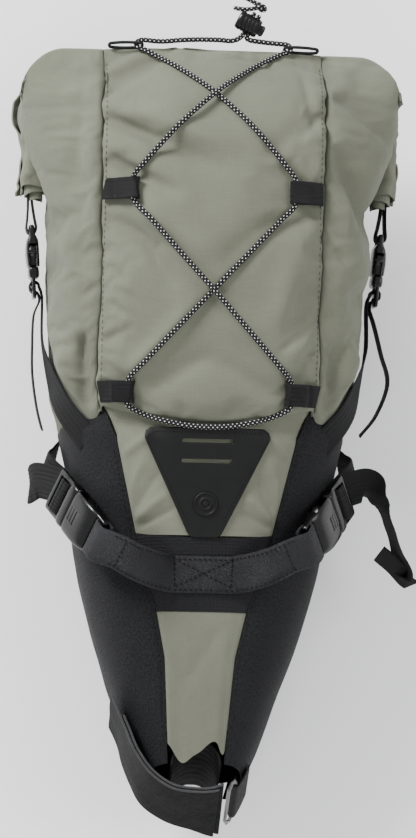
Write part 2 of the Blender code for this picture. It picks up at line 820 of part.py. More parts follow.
def lock_frame():
    """The cord lock's frame: x along its two cords, away from the bag, and y out through its button."""
    along = Vector((0.45, 0.86, 0.24)).normalized()
    button = Vector((0.89, -0.46, 0.0)).normalized()
    up = along.cross(button).normalized()
    button = up.cross(along)
    place = Matrix.Identity(4)
    origin = Vector((0.0225, 0.2295, 0.1330))
    for row in range(3):
        for col, axis in enumerate((along, button, up)):
            place[row][col] = axis[row]
        place[row][3] = origin[row]
    return place


LOCK_LENGTH, LOCK_CORD_PITCH = 0.0135, 0.0019


def cord_route():
    """The elastic cord from one end in the knot, round all its holders and back to the knot."""
    lock = lock_frame()
    knot_end = LOCK_LENGTH + 0.0025
    first = [lock @ Vector((x, -LOCK_CORD_PITCH, 0)) for x in (knot_end, LOCK_LENGTH / 2, -0.0025)]
    last = [lock @ Vector((x, LOCK_CORD_PITCH, 0)) for x in (-0.0025, LOCK_LENGTH / 2, knot_end)]

    def rear(x, lift=CORD_LIFT):
        """A point of the cord where it runs over the bag's rear edge."""
        return Vector((x, 0.2215 - 0.9 * x * x, 0.1335 - 1.2 * x * x + lift - CORD_LIFT))

    def through(sign, y, way):
        """The straight run through a webbing loop, up (1) or down (-1) the bag."""
        reach = LOOP_WEBBING / 2 + 0.0012
        return [on_top(LOOP_EYE_X * sign, y + way * reach * k, loop_eye_lift()) for k in (-1, 0, 1)]

    def strand(start, end, over, bow=0.0):
        """Points between two holders, on the top face, raised where the strand crosses over another."""
        found = []
        for share in (0.14, 0.30, 0.42, 0.5, 0.58, 0.70, 0.86):
            x, y = start[0] + (end[0] - start[0]) * share, start[1] + (end[1] - start[1]) * share
            y += bow * 4 * share * (1 - share)
            hump = max(0.0, 1 - abs(share - 0.5) / 0.22) if over else 0.0
            found.append(on_top(x, y, CORD_LIFT + CORD_OVER * hump * hump * (3 - 2 * hump)))
        return found

    def tie(sign):
        """The turn round the end of a cord tie, from behind it to in front of it."""
        turn = ((-4.5, 3.6), (-0.5, 3.0), (1.4, 0.3), (-0.5, -2.8), (-4.5, -4.0))
        found = []
        for along, behind in turn:
            x, y = TIE_X + along * 0.001, TIE_Y + behind * 0.001
            found.append(Vector((x * sign, y, TIE_Z - 0.35 * behind * 0.001)))
        return found + [on_top(0.0425 * sign, 0.2065, CORD_LIFT + 0.0006)]

    low_arc = [
        on_top(x, -0.0445 + 4.0 * x * x - 0.0004, CORD_LIFT + 0.0042)
        for x in (-0.042, -0.030, -0.018, -0.006, 0.006, 0.018, 0.030, 0.042)
    ]
    left_rear = [rear(x) for x in (0.013, 0.003, -0.010, -0.022, -0.036)]
    right_rear = [Vector((0.0345, 0.2235, 0.1325))]
    route = first + left_rear + tie(-1)
    edge = LOOP_WEBBING / 2 + 0.0012
    route += strand((-0.0425, 0.2065), (LOOP_EYE_X, MID_LOOP_Y + edge), False, UPPER_BOW)
    route += through(1, MID_LOOP_Y, -1)
    route += strand((LOOP_EYE_X, MID_LOOP_Y - edge), (-LOOP_EYE_X, LOW_LOOP_Y + edge), False)
    route += through(-1, LOW_LOOP_Y, -1)
    route += low_arc
    route += through(1, LOW_LOOP_Y, 1)
    route += strand((LOOP_EYE_X, LOW_LOOP_Y + edge), (-LOOP_EYE_X, MID_LOOP_Y - edge), True)
    route += through(-1, MID_LOOP_Y, 1)
    route += strand((-LOOP_EYE_X, MID_LOOP_Y + edge), (0.0425, 0.2065), True, UPPER_BOW)
    return route + tie(1)[::-1] + right_rear + last


def build_cord():
    route = smooth_path(cord_route(), 2)
    tube("elastic_cord", route, CORD_RADIUS, CORD_BRAID)
    for sign, label in ((1, "right"), (-1, "left")):
        build_tie(sign, label)
    build_cord_lock()
    build_knot()


def build_tie(sign, label):
    """A thin cord loop from the seam to the elastic cord at the bag's rear edge."""
    near = Vector((TIE_X * sign, TIE_Y, TIE_Z))
    far = Vector((0.0690 * sign, 0.2188, 0.1345))
    middle, reach = (near + far) / 2, (far - near) / 2
    rise = Vector((0, 0.35, 0.94)) * 0.0037
    end = reach.normalized() * 0.0033
    points = []
    for k in range(20):
        angle = 2 * math.pi * k / 20
        stretch = reach * (1 if math.cos(angle) > 0 else -1) * min(1.0, abs(math.cos(angle)) * 1.4)
        points.append(middle + stretch + end * math.cos(angle) + rise * math.sin(angle))
    tube(f"cord_tie_{label}", points, 0.0010, CORD_BRAID, cyclic=True, resolution=1)


def build_cord_lock():
    """Body, spring and button. The two cords pass through a slot in the body and in the button."""
    place = lock_frame()
    length = LOCK_LENGTH * 1000
    body = plastic_block("cord_lock_body", (0, -10.3, -5.2), (length, 6.3, 5.2), place)
    bevel(body, 0.0016, 2)
    boolean(body, plastic_block("lock_well", (2.2, -9.2, -3.3), (11.3, 9, 3.3), place), "DIFFERENCE")
    boolean(body, plastic_block("lock_passage", (-2, -4.2, -2.3), (17, 4.2, 2.3), place), "DIFFERENCE")

    button = plastic_block("cord_lock_button", (2.6, -4.9, -2.9), (10.9, 10.2, 2.9), place)
    bevel(button, 0.0007)
    boolean(button, plastic_block("button_eye", (-2, -3.95, -2.15), (17, 7.6, 2.15), place), "DIFFERENCE")

    radius, turns, first, last, count = 0.0017, 2.5, -0.00885, -0.00525, 20
    points = []
    for k in range(count + 1):
        angle = 2 * math.pi * turns * k / count
        travel = first + (last - first) * k / count
        x, z = LOCK_LENGTH / 2 + radius * math.cos(angle), radius * math.sin(angle)
        points.append(place @ Vector((x, travel, z)))
    tube("cord_lock_spring", points, 0.00025, STEEL, resolution=0)


def build_knot():
    """The stopper knot above the cord lock, with the two cut ends of the cord."""
    place = lock_frame()
    lobes = 9
    points, faces = [], []
    rings, sides = 7, 12
    centre = Vector((LOCK_LENGTH + 0.0074, 0.0, 0.0))
    for r in range(1, rings):
        polar = math.pi * r / rings
        for s in range(sides):
            around = 2 * math.pi * s / sides
            radius = 0.0044 * (1 + 0.10 * math.sin(lobes * around / 3 + 2 * polar))
            out = math.sin(polar)
            spot = Vector((math.cos(polar), out * math.cos(around), out * math.sin(around)))
            points.append(place @ (centre + spot * radius))
    ends = [place @ (centre + Vector((x, 0, 0))) for x in (0.0044, -0.0044)]
    first, last = len(points), len(points) + 1
    points += ends
    for r in range(rings - 2):
        for s in range(sides):
            t = (s + 1) % sides
            faces.append((r * sides + s, r * sides + t, (r + 1) * sides + t, (r + 1) * sides + s))
    for s in range(sides):
        t = (s + 1) % sides
        faces.append((first, s, t))
        faces.append((last, (rings - 2) * sides + t, (rings - 2) * sides + s))
    add_object("stopper_knot", points, faces, CORD_BRAID)
    knot = place @ centre
    for k, rise in enumerate((0.0018, -0.0022)):
        start = knot + Vector((-0.0052, rise + 0.0014, rise))
        end = start + Vector((-0.0125 - 0.001 * k, 0.0035 - 0.0025 * k, rise * 0.5))
        tail = [start.lerp(end, j / 3) for j in range(4)]
        tube(f"cord_end_{k + 1}", tail, CORD_RADIUS * 0.9, CORD_BRAID)


# ---------------------------------------------------------------- seat-post end


def post_point(angle, radius, down):
    """A point round the seat post's axis. Down runs from the bag's top face along the post."""
    x = radius * math.cos(angle)
    y = POST_Y + radius * math.sin(angle) - POST_LEAN * down
    return Vector((x, y, POST_TOP_Z - down))


def build_cradle():
    """The rubber pad that lines the notch round the seat post, with a flat strip at its middle."""
    steps = 10
    radius, thickness = POST_RADIUS + 0.0008, 0.0018

    def grid(r):
        rows = []
        for down in (0.001, 0.0175, 0.034, 0.0505):
            row = []
            for k in range(steps + 1):
                angle = math.pi * k / steps
                row.append(post_point(angle, r, down))
            rows.append(row)
        for row in rows:
            middle = max(p.y for p in row)
            low = min(row[steps // 2 - 1].y, row[steps // 2 + 1].y)
            row[steps // 2].y = low if middle > low else middle
        return rows

    closed_shell("seatpost_pad", grid(radius), grid(radius + thickness), RUBBER)


STRAP_HEIGHT, STRAP_THICKNESS = 0.043, 0.0016
# The strap's inner face from its seam on the left to the ring on the right: upper edge, then lower edge.
BAND_UPPER = (
    (-0.0500, -0.2400),
    (-0.0455, -0.2500),
    (-0.0395, -0.2635),
    (-0.0292, -0.2775),
    (-0.0150, -0.2870),
    (0.0000, -0.2893),
    (0.0110, -0.2890),
    (0.0195, -0.2862),
)
BAND_LOWER = (
    (-0.0490, -0.2620),
    (-0.0455, -0.2740),
    (-0.0400, -0.2870),
    (-0.0328, -0.3002),
    (-0.0180, -0.3108),
    (0.0000, -0.3165),
    (0.0115, -0.3200),
    (0.0200, -0.3215),
)


def band_rows(upper, lower, outset):
    """Rows of points from the strap's upper edge to its lower edge."""
    lines = [smooth_path([Vector((x, y, 0)) for x, y in edge], 2) for edge in (upper, lower)]
    last = len(lines[0]) - 1
    rows = []
    for i in range(last + 1):
        row = []
        for share in (0.0, 0.5, 1.0):
            here, after, before = (
                lines[0][k].lerp(lines[1][k], share) for k in (i, min(i + 1, last), max(i - 1, 0))
            )
            tangent = (after - before).normalized()
            outward = Vector((tangent.y, -tangent.x, 0))
            height = POST_TOP_Z - 0.002 - STRAP_HEIGHT * share
            row.append(here + outward * outset + Vector((0, 0, height)))
        rows.append(row)
    return rows


def build_seatpost_strap():
    """The hook-and-loop strap: an inner run to the ring on the right, and a flap back to the left."""

    def layer(name, upper, lower, lift):
        outer = band_rows(upper, lower, lift + STRAP_THICKNESS)
        closed_shell(name, outer, band_rows(upper, lower, lift), HOOK_LOOP)

    layer("seatpost_strap", BAND_UPPER, BAND_LOWER, 0.0)
    flap_upper = ((-0.0565, -0.2250),) + BAND_UPPER[:-1] + ((0.0160, -0.2878),)
    flap_lower = ((-0.0555, -0.2480),) + BAND_LOWER[:-1] + ((0.0165, -0.3210),)
    layer("seatpost_strap_flap", flap_upper, flap_lower, STRAP_THICKNESS + 0.0008)
    build_strap_ring()


def build_strap_ring():
    """The wire ring at the right of the post, and the webbing tab that holds it."""
    radius, half_long, half_wide = 0.0014, 0.0275, 0.0034
    down = Vector((0, -POST_LEAN, -1)).normalized()
    right = Vector((1, 0, 0))
    level = right.cross(down)
    middle = Vector((0.0262, -0.2855, POST_TOP_Z - 0.002)) + down * 0.0275
    across = (right * 0.72 + level * 0.69).normalized()
    corners = ((1, 1), (1, -1), (-1, -1), (-1, 1))
    points = []
    for (long_a, wide_a), (long_b, wide_b) in zip(corners, corners[1:] + corners[:1]):
        for share in (0.12, 0.5, 0.88) if long_a != long_b else (0.3, 0.7):
            along = (long_a + (long_b - long_a) * share) * half_long
            out = (wide_a + (wide_b - wide_a) * share) * half_wide
            points.append(middle + down * along + across * out)
    tube("strap_ring", points, radius, STEEL, cyclic=True, resolution=1)

    bar = middle + across * half_wide
    hug = radius + 0.0009
    back = (right * 0.36 + level * 0.93).normalized()
    outward = (right * 0.93 - level * 0.36).normalized()
    route = [bar + back * 0.0190 + outward * 0.0034, bar + back * 0.008 + outward * 0.0032]
    for k in range(5):
        angle = math.pi * k / 4
        route.append(bar + outward * math.cos(angle) * hug - back * math.sin(angle) * hug)
    route.append(bar + back * 0.006 - outward * hug)
    path = smooth_path(route, 2)
    strip("ring_tab", path, [down] * len(path), 0.042, 0.0011, WEBBING)


build_panels()
build_dry_bag()
build_roll()
build_side_closures()
build_rail_straps()
build_light_patch()
build_loops()
build_cord()
build_cradle()
build_seatpost_strap()
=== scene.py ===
"""The saddle bag's looks: fabric shells, webbing, buckles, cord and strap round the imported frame.

Lengths are in metres in the frame's own axes: +Y towards the roll top, +Z towards the saddle side.
"""

import math

import bmesh
import bpy
import numpy as np
from mathutils import Matrix, Vector, noise
from mathutils.bvhtree import BVHTree


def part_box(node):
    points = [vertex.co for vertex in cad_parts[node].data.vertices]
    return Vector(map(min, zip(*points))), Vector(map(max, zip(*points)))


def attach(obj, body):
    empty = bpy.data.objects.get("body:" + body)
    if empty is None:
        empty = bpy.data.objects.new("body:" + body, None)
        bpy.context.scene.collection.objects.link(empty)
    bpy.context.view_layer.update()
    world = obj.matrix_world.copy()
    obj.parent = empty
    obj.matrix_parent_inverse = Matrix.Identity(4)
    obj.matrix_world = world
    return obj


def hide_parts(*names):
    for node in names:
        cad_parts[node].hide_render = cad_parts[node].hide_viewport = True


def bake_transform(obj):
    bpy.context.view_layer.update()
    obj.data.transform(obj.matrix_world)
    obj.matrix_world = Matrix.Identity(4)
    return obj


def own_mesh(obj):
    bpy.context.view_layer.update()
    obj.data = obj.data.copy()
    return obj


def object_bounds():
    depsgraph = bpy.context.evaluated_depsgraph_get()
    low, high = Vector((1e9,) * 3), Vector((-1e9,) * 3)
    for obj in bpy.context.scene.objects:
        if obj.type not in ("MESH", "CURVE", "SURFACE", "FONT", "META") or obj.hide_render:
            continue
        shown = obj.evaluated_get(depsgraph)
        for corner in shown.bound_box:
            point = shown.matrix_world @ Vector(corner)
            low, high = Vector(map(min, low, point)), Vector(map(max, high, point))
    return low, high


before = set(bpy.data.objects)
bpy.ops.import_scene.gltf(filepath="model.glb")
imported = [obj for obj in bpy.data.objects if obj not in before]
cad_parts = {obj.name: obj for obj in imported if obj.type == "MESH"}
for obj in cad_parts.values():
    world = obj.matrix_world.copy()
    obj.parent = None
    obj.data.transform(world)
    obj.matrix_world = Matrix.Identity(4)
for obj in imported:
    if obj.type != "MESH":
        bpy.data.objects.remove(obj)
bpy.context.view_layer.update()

# ---------------------------------------------------------------- camera, light and floor

BAG_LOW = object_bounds()[0]
VIEW_CENTRE = Vector((0.0000, -0.0387, 0.150))
VIEW_TILT = math.radians(4.0)  # to the left of straight down on the top face
VIEW_PITCH = math.radians(4.2)  # towards the seat-post end
VIEW_ROLL = math.radians(1.1)
VIEW_DISTANCE = 2.6
VIEW_HEIGHT = 0.570  # what the picture's long side spans at the view centre


def axes_matrix(axes, origin):
    """The matrix with three axes and an origin as its columns."""
    place = Matrix.Identity(4)
    for row in range(3):
        for col, axis in enumerate(axes):
            place[row][col] = axis[row]
        place[row][3] = origin[row]
    return place


def make_camera():
    data = bpy.data.cameras.new("camera")
    data.sensor_width = 36.0
    data.lens = 36.0 * VIEW_DISTANCE / VIEW_HEIGHT
    data.clip_start, data.clip_end = 0.05, 30.0
    camera = bpy.data.objects.new("camera", data)
    bpy.context.scene.collection.objects.link(camera)
    right = Vector((math.cos(VIEW_TILT), 0.0, math.sin(VIEW_TILT)))
    level = Vector((-math.sin(VIEW_TILT), 0.0, math.cos(VIEW_TILT)))
    back = Matrix.Rotation(VIEW_PITCH, 3, right) @ level
    up = back.cross(right)
    turn = Matrix.Rotation(VIEW_ROLL, 3, back)
    right, up = turn @ right, turn @ up
    camera.matrix_world = axes_matrix((right, up, back), VIEW_CENTRE + back * VIEW_DISTANCE)
    bpy.context.scene.camera = camera


def make_light(name, at, size, power, colour=(1, 1, 1)):
    data = bpy.data.lights.new(name, "AREA")
    data.shape = "RECTANGLE"
    data.size, data.size_y = size
    data.energy = power
    data.color = colour
    lamp = bpy.data.objects.new(name, data)
    bpy.context.scene.collection.objects.link(lamp)
    lamp.location = at
    aim = Vector((0.0, -0.03, 0.08)) - Vector(at)
    lamp.rotation_euler = aim.to_track_quat("-Z", "Y").to_euler()


def make_studio():
    make_light("key", (-1.5, 1.5, 1.35), (0.8, 0.8), 118.0)
    make_light("fill", (1.6, 0.3, 1.7), (1.2, 1.2), 26.0)
    make_light("front", (-0.3, -1.9, 1.5), (1.4, 0.8), 20.0)
    world = bpy.data.worlds.new("studio")
    bpy.context.scene.world = world
    world.use_nodes = True
    world.node_tree.nodes["Background"].inputs["Color"].default_value = (0.97, 0.98, 1.0, 1)
    world.node_tree.nodes["Background"].inputs["Strength"].default_value = 0.85
    mesh = bpy.data.meshes.new("floor")
    reach = 6.0
    level = BAG_LOW.z - 0.0004
    corners = [(-reach, -reach, level), (reach, -reach, level), (reach, reach, level),
               (-reach, reach, level)]
    mesh.from_pydata(corners, [], [(0, 1, 2, 3)])
    floor = bpy.data.objects.new("floor", mesh)
    bpy.context.scene.collection.objects.link(floor)
    paint = bpy.data.materials.new("floor_paint")
    paint.use_nodes = True
    paint.node_tree.nodes["Principled BSDF"].inputs["Base Color"].default_value = (0.93, 0.93, 0.93, 1)
    paint.node_tree.nodes["Principled BSDF"].inputs["Roughness"].default_value = 0.85
    mesh.materials.append(paint)


make_camera()
make_studio()

# ---------------------------------------------------------------- material nodes


def add(tree, kind, inputs=None, **settings):
    """A node with its settings and inputs; an input is a value or another node's output."""
    node = tree.nodes.new(kind)
    for key, value in settings.items():
        setattr(node, key, value)
    for key, value in (inputs or {}).items():
        if isinstance(value, bpy.types.NodeSocket):
            tree.links.new(value, node.inputs[key])
        else:
            node.inputs[key].default_value = value
    return node


def calc(tree, operation, a, b=0.0, c=0.0):
    return add(tree, "ShaderNodeMath", {0: a, 1: b, 2: c}, operation=operation).outputs[0]


def noise_at(tree, place, scale, detail=2.0, rough=0.5):
    inputs = {"Vector": place, "Scale": scale, "Detail": detail, "Roughness": rough}
    return add(tree, "ShaderNodeTexNoise", inputs).outputs["Fac"]


def stretched(tree, place, scale):
    return add(tree, "ShaderNodeMapping", {"Vector": place, "Scale": scale}).outputs["Vector"]


def blend_colours(tree, share, first, second):
    node = add(tree, "ShaderNodeMix", data_type="RGBA")
    for index, value in ((0, share), (6, first), (7, second)):
        if isinstance(value, bpy.types.NodeSocket):
            tree.links.new(value, node.inputs[index])
        else:
            node.inputs[index].default_value = value if index == 0 else (*value, 1.0)
    return node.outputs[2]


def remap(tree, value, low, high, to_low=0.0, to_high=1.0):
    inputs = {"Value": value, "From Min": low, "From Max": high, "To Min": to_low, "To Max": to_high}
    return add(tree, "ShaderNodeMapRange", inputs).outputs[0]


def new_material(name, **shader_inputs):
    made = bpy.data.materials.new(name)
    made.use_nodes = True
    shader = made.node_tree.nodes["Principled BSDF"]
    for key, value in shader_inputs.items():
        shader.inputs[key.replace("_", " ")].default_value = value
    return made, made.node_tree, shader


def finish_material(tree, shader, colour, roughness, height, distance, strength=1.0, under=None):
    """Links colour, roughness and a bump of the given height in metres to the shader."""
    tree.links.new(colour, shader.inputs["Base Color"])
    tree.links.new(roughness, shader.inputs["Roughness"])
    inputs = {"Height": height, "Distance": distance, "Strength": strength}
    if under is not None:
        inputs["Normal"] = under
    bump = add(tree, "ShaderNodeBump", inputs)
    tree.links.new(bump.outputs["Normal"], shader.inputs["Normal"])
    return bump.outputs["Normal"]


def weave_place(tree):
    """The fabric's own position in metres: u across, v along."""
    uv = add(tree, "ShaderNodeUVMap", uv_map="weave").outputs["UV"]
    parts = add(tree, "ShaderNodeSeparateXYZ", {"Vector": uv})
    return uv, parts.outputs["X"], parts.outputs["Y"]


def object_place(tree):
    return add(tree, "ShaderNodeTexCoord").outputs["Object"]


def threads(tree, value, per_metre, shift=0.0):
    turned = calc(tree, "MULTIPLY_ADD", value, 2 * math.pi * per_metre, shift)
    return calc(tree, "SINE", turned)


def cloth_material(name, dark, light, pitch, twill=False, grid=0.0, sheen=0.25, rough=(0.72, 0.9), slub=0.5,
                   coarse=0.0):
    """Woven fabric: pitch is the thread spacing; grid is the spacing of ripstop threads, if any."""
    made, tree, shader = new_material(name, Sheen_Weight=sheen, Sheen_Roughness=0.5, Specular_IOR_Level=0.18)
    uv, u, v = weave_place(tree)
    place = object_place(tree)
    if twill:
        slope = calc(tree, "ADD", u, calc(tree, "MULTIPLY", v, 0.8))
        weave = threads(tree, slope, 1 / (2.2 * pitch))
        fine = calc(tree, "MULTIPLY", threads(tree, u, 1 / pitch), threads(tree, v, 1 / pitch))
        weave = calc(tree, "MULTIPLY_ADD", fine, 0.35, weave)
    else:
        weave = calc(tree, "MULTIPLY", threads(tree, u, 0.5 / pitch), threads(tree, v, 0.5 / pitch))
    across = noise_at(tree, stretched(tree, uv, (60.0, 1500.0, 1.0)), 1.0, 2.0)
    along = noise_at(tree, stretched(tree, uv, (1500.0, 60.0, 1.0)), 1.0, 2.0)
    yarn = calc(tree, "MULTIPLY_ADD", across, 0.6, calc(tree, "MULTIPLY", along, 0.4))
    cloud = noise_at(tree, place, 14.0, 4.0, 0.55)
    speck = noise_at(tree, place, 1400.0, 2.0, 0.6)
    tone = calc(tree, "MULTIPLY_ADD", yarn, slub, calc(tree, "MULTIPLY", cloud, 1 - slub))
    tone = calc(tree, "MULTIPLY_ADD", speck, 0.25, calc(tree, "MULTIPLY", tone, 0.85))
    height = calc(tree, "MULTIPLY_ADD", yarn, 0.8, calc(tree, "MULTIPLY", weave, 0.5))
    if coarse:
        knots = noise_at(tree, stretched(tree, uv, (900.0, 620.0, 1.0)), 1.0, 1.0)
        tone = calc(tree, "MULTIPLY_ADD", calc(tree, "SUBTRACT", knots, 0.5), coarse, tone)
        height = calc(tree, "MULTIPLY_ADD", knots, 2.4 * coarse, height)
    if grid:
        rib = None
        for line in (u, v):
            wave = calc(tree, "PINGPONG", line, grid / 2)
            edge = remap(tree, wave, 0.0, 0.00035, 1.0, 0.0)
            rib = edge if rib is None else calc(tree, "MAXIMUM", rib, edge)
        height = calc(tree, "MULTIPLY_ADD", rib, 1.6, height)
        tone = calc(tree, "MULTIPLY_ADD", rib, 0.35, tone)
    colour = blend_colours(tree, remap(tree, tone, 0.32, 0.72), dark, light)
    roughness = remap(tree, yarn, 0.3, 0.7, rough[0], rough[1])
    finish_material(tree, shader, colour, roughness, height, 0.00016)
    return made


def webbing_material(name, dark, light, ribs=0.0032):
    made, tree, shader = new_material(name, Sheen_Weight=0.02, Sheen_Roughness=0.45, Specular_IOR_Level=0.22)
    uv, u, v = weave_place(tree)
    chevron = calc(tree, "PINGPONG", u, ribs / 2)
    slope = calc(tree, "MULTIPLY_ADD", chevron, 1.1, v)
    weave = threads(tree, slope, 1 / 0.0011)
    rib = threads(tree, u, 1 / ribs, 0.6)
    yarn = noise_at(tree, stretched(tree, uv, (2400.0, 500.0, 1.0)), 1.0, 2.0)
    height = calc(tree, "MULTIPLY_ADD", rib, 0.45, calc(tree, "MULTIPLY_ADD", yarn, 0.7, weave))
    tone = calc(tree, "MULTIPLY_ADD", weave, 0.16, yarn)
    cloud = noise_at(tree, object_place(tree), 40.0, 3.0)
    tone = calc(tree, "MULTIPLY_ADD", cloud, 0.3, tone)
    colour = blend_colours(tree, remap(tree, tone, 0.35, 0.95), dark, light)
    roughness = remap(tree, yarn, 0.3, 0.7, 0.6, 0.85)
    finish_material(tree, shader, colour, roughness, height, 0.00022)
    return made


def leather_material(name, dark, light):
    made, tree, shader = new_material(name, Specular_IOR_Level=0.22, Coat_Weight=0.02, Coat_Roughness=0.45)
    place = object_place(tree)
    swirl = noise_at(tree, place, 420.0, 3.0)
    cells = add(
        tree,
        "ShaderNodeTexVoronoi",
        {"Vector": stretched(tree, place, (1.0, 1.25, 1.0)), "Scale": 820.0, "Randomness": 1.0},
        feature="DISTANCE_TO_EDGE",
    ).outputs["Distance"]
    grain = remap(tree, cells, 0.0, 0.28)
    height = calc(tree, "MULTIPLY_ADD", swirl, 1.1, grain)
    wear = noise_at(tree, place, 55.0, 3.0)
    tone = calc(tree, "MULTIPLY_ADD", grain, 0.45, calc(tree, "MULTIPLY", wear, 0.6))
    colour = blend_colours(tree, remap(tree, tone, 0.2, 0.85), dark, light)
    roughness = remap(tree, swirl, 0.3, 0.7, 0.42, 0.62)
    finish_material(tree, shader, colour, roughness, height, 0.00032)
    return made


def moulded_material(name, dark, light, rough=(0.28, 0.42), grain=2600.0, depth=0.00002, coat=0.0,
                     shine=0.5):
    """Moulded plastic or rubber with a fine spark-eroded grain and a few faint rub marks."""
    made, tree, shader = new_material(name, Specular_IOR_Level=shine, Coat_Weight=coat, Coat_Roughness=0.2)
    place = object_place(tree)
    fine = noise_at(tree, place, grain, 3.0)
    cloud = noise_at(tree, place, 90.0, 4.0, 0.6)
    rubs = noise_at(tree, stretched(tree, place, (90.0, 1400.0, 500.0)), 1.0, 2.0)
    tone = calc(tree, "MULTIPLY_ADD", fine, 0.4, calc(tree, "MULTIPLY", cloud, 0.6))
    colour = blend_colours(tree, remap(tree, tone, 0.3, 0.7), dark, light)
    mixed = calc(tree, "MULTIPLY_ADD", rubs, 0.5, calc(tree, "MULTIPLY", cloud, 0.5))
    roughness = remap(tree, mixed, 0.3, 0.7, rough[0], rough[1])
    finish_material(tree, shader, colour, roughness, fine, depth)
    return made


def cord_material(name):
    """Braided elastic cord: dark sheath with alternating rows of light tracer yarns."""
    made, tree, shader = new_material(name, Sheen_Weight=0.02, Sheen_Roughness=0.4, Specular_IOR_Level=0.25)
    uv, u, v = weave_place(tree)
    rows, pitch = 6.0, 0.0030
    turn = calc(tree, "MULTIPLY", u, rows)
    row = calc(tree, "FLOOR", turn)
    offset = calc(tree, "MULTIPLY", calc(tree, "MODULO", row, 2.0), 0.5)
    step = calc(tree, "FRACT", calc(tree, "MULTIPLY_ADD", v, 1 / pitch, offset))
    side = calc(tree, "FRACT", turn)
    near_step = calc(tree, "ABSOLUTE", calc(tree, "SUBTRACT", step, 0.5))
    near_side = calc(tree, "ABSOLUTE", calc(tree, "SUBTRACT", side, 0.5))
    step_share = calc(tree, "MULTIPLY", near_step, 1 / 0.155)
    side_share = calc(tree, "MULTIPLY", near_side, 1 / 0.24)
    side_square = calc(tree, "MULTIPLY", side_share, side_share)
    spread = calc(tree, "MULTIPLY_ADD", step_share, step_share, side_square)
    fleck = remap(tree, spread, 0.75, 1.15, 1.0, 0.0)
    braid_a = threads(tree, calc(tree, "MULTIPLY_ADD", u, 0.0050, v), 1 / 0.00105)
    braid_b = threads(tree, calc(tree, "MULTIPLY_ADD", u, -0.0050, v), 1 / 0.00105)
    braid = calc(tree, "MAXIMUM", braid_a, braid_b)
    fuzz = noise_at(tree, object_place(tree), 2200.0, 2.0)
    dark = blend_colours(tree, fuzz, (0.001, 0.001, 0.0012), (0.007, 0.007, 0.0075))
    light = blend_colours(tree, fuzz, (0.48, 0.48, 0.47), (0.80, 0.80, 0.78))
    colour = blend_colours(tree, fleck, dark, light)
    height = calc(tree, "MULTIPLY_ADD", fleck, 0.5, braid)
    roughness = remap(tree, fuzz, 0.3, 0.7, 0.6, 0.8)
    finish_material(tree, shader, colour, roughness, height, 0.00014)
    return made


def felt_material(name, dark, light):
    made, tree, shader = new_material(name, Sheen_Weight=0.03, Sheen_Roughness=0.6, Specular_IOR_Level=0.12)
    place = object_place(tree)
    curls = noise_at(tree, place, 1100.0, 4.0, 0.7)
    tufts = noise_at(tree, place, 260.0, 3.0, 0.6)
    height = calc(tree, "MULTIPLY_ADD", curls, 1.0, calc(tree, "MULTIPLY", tufts, 0.8))
    tone = calc(tree, "MULTIPLY_ADD", curls, 0.5, calc(tree, "MULTIPLY", tufts, 0.5))
    colour = blend_colours(tree, remap(tree, tone, 0.35, 0.7), dark, light)
    roughness = remap(tree, curls, 0.3, 0.7, 0.85, 1.0)
    finish_material(tree, shader, colour, roughness, height, 0.0005)
    return made


def steel_material(name):
    made, tree, shader = new_material(name, Metallic=1.0)
    place = object_place(tree)
    brushed = noise_at(tree, stretched(tree, place, (300.0, 3000.0, 3000.0)), 1.0, 3.0)
    spots = noise_at(tree, place, 250.0, 3.0)
    colour = blend_colours(tree, spots, (0.09, 0.09, 0.093), (0.18, 0.18, 0.184))
    roughness = remap(tree, brushed, 0.3, 0.7, 0.22, 0.38)
    finish_material(tree, shader, colour, roughness, brushed, 0.00002)
    return made


SAGE = cloth_material("sage_cloth", (0.101, 0.107, 0.077), (0.162, 0.169, 0.127), 0.00042, sheen=0.06)
TWILL = cloth_material(
    "black_twill", (0.0006, 0.0006, 0.0008), (0.0110, 0.0112, 0.0130), 0.00055, twill=True,
    rough=(0.6, 0.85), sheen=0.01, coarse=1.1
)
RIPSTOP = cloth_material(
    "black_grid_cloth", (0.0008, 0.0008, 0.0010), (0.0085, 0.0085, 0.0098), 0.0004, grid=0.0024,
    rough=(0.5, 0.75), sheen=0.01, coarse=0.5
)
WEBBING = webbing_material("black_webbing", (0.0008, 0.0008, 0.0010), (0.0085, 0.0085, 0.0098))
LEATHER = leather_material("grained_leather", (0.0040, 0.0040, 0.0047), (0.0210, 0.0210, 0.0245))
RUBBER = moulded_material("matt_rubber", (0.0022, 0.0023, 0.0023), (0.0048, 0.0050, 0.0049), (0.5, 0.65),
                          1500.0, 0.00005, shine=0.2)
PLASTIC = moulded_material("buckle_moulding", (0.0006, 0.0006, 0.0007), (0.0018, 0.0018, 0.0020),
                           (0.2, 0.32), coat=0.1, shine=0.32)
CORD = cord_material("flecked_cord")
THIN_CORD = webbing_material("thin_cord", (0.004, 0.004, 0.005), (0.02, 0.02, 0.022), 0.0009)
FELT = felt_material("hook_and_loop_pile", (0.0010, 0.0010, 0.0012), (0.0130, 0.0130, 0.0140))
STEEL = steel_material("drawn_steel")
SHEET = moulded_material("sheet_plastic_face", (0.03, 0.03, 0.03), (0.06, 0.06, 0.06), (0.4, 0.55))
LINER = cloth_material("liner_cloth", (0.30, 0.27, 0.22), (0.48, 0.44, 0.37), 0.0005, rough=(0.4, 0.6))
DARK_THREAD = webbing_material("dark_thread", (0.0006, 0.0006, 0.0006), (0.0022, 0.0022, 0.0022), 0.0006)
GREEN_THREAD = webbing_material("green_thread", (0.030, 0.030, 0.020), (0.060, 0.060, 0.042), 0.0006)

# ---------------------------------------------------------------- mesh helpers


def link(obj):
    bpy.context.scene.collection.objects.link(obj)
    return obj


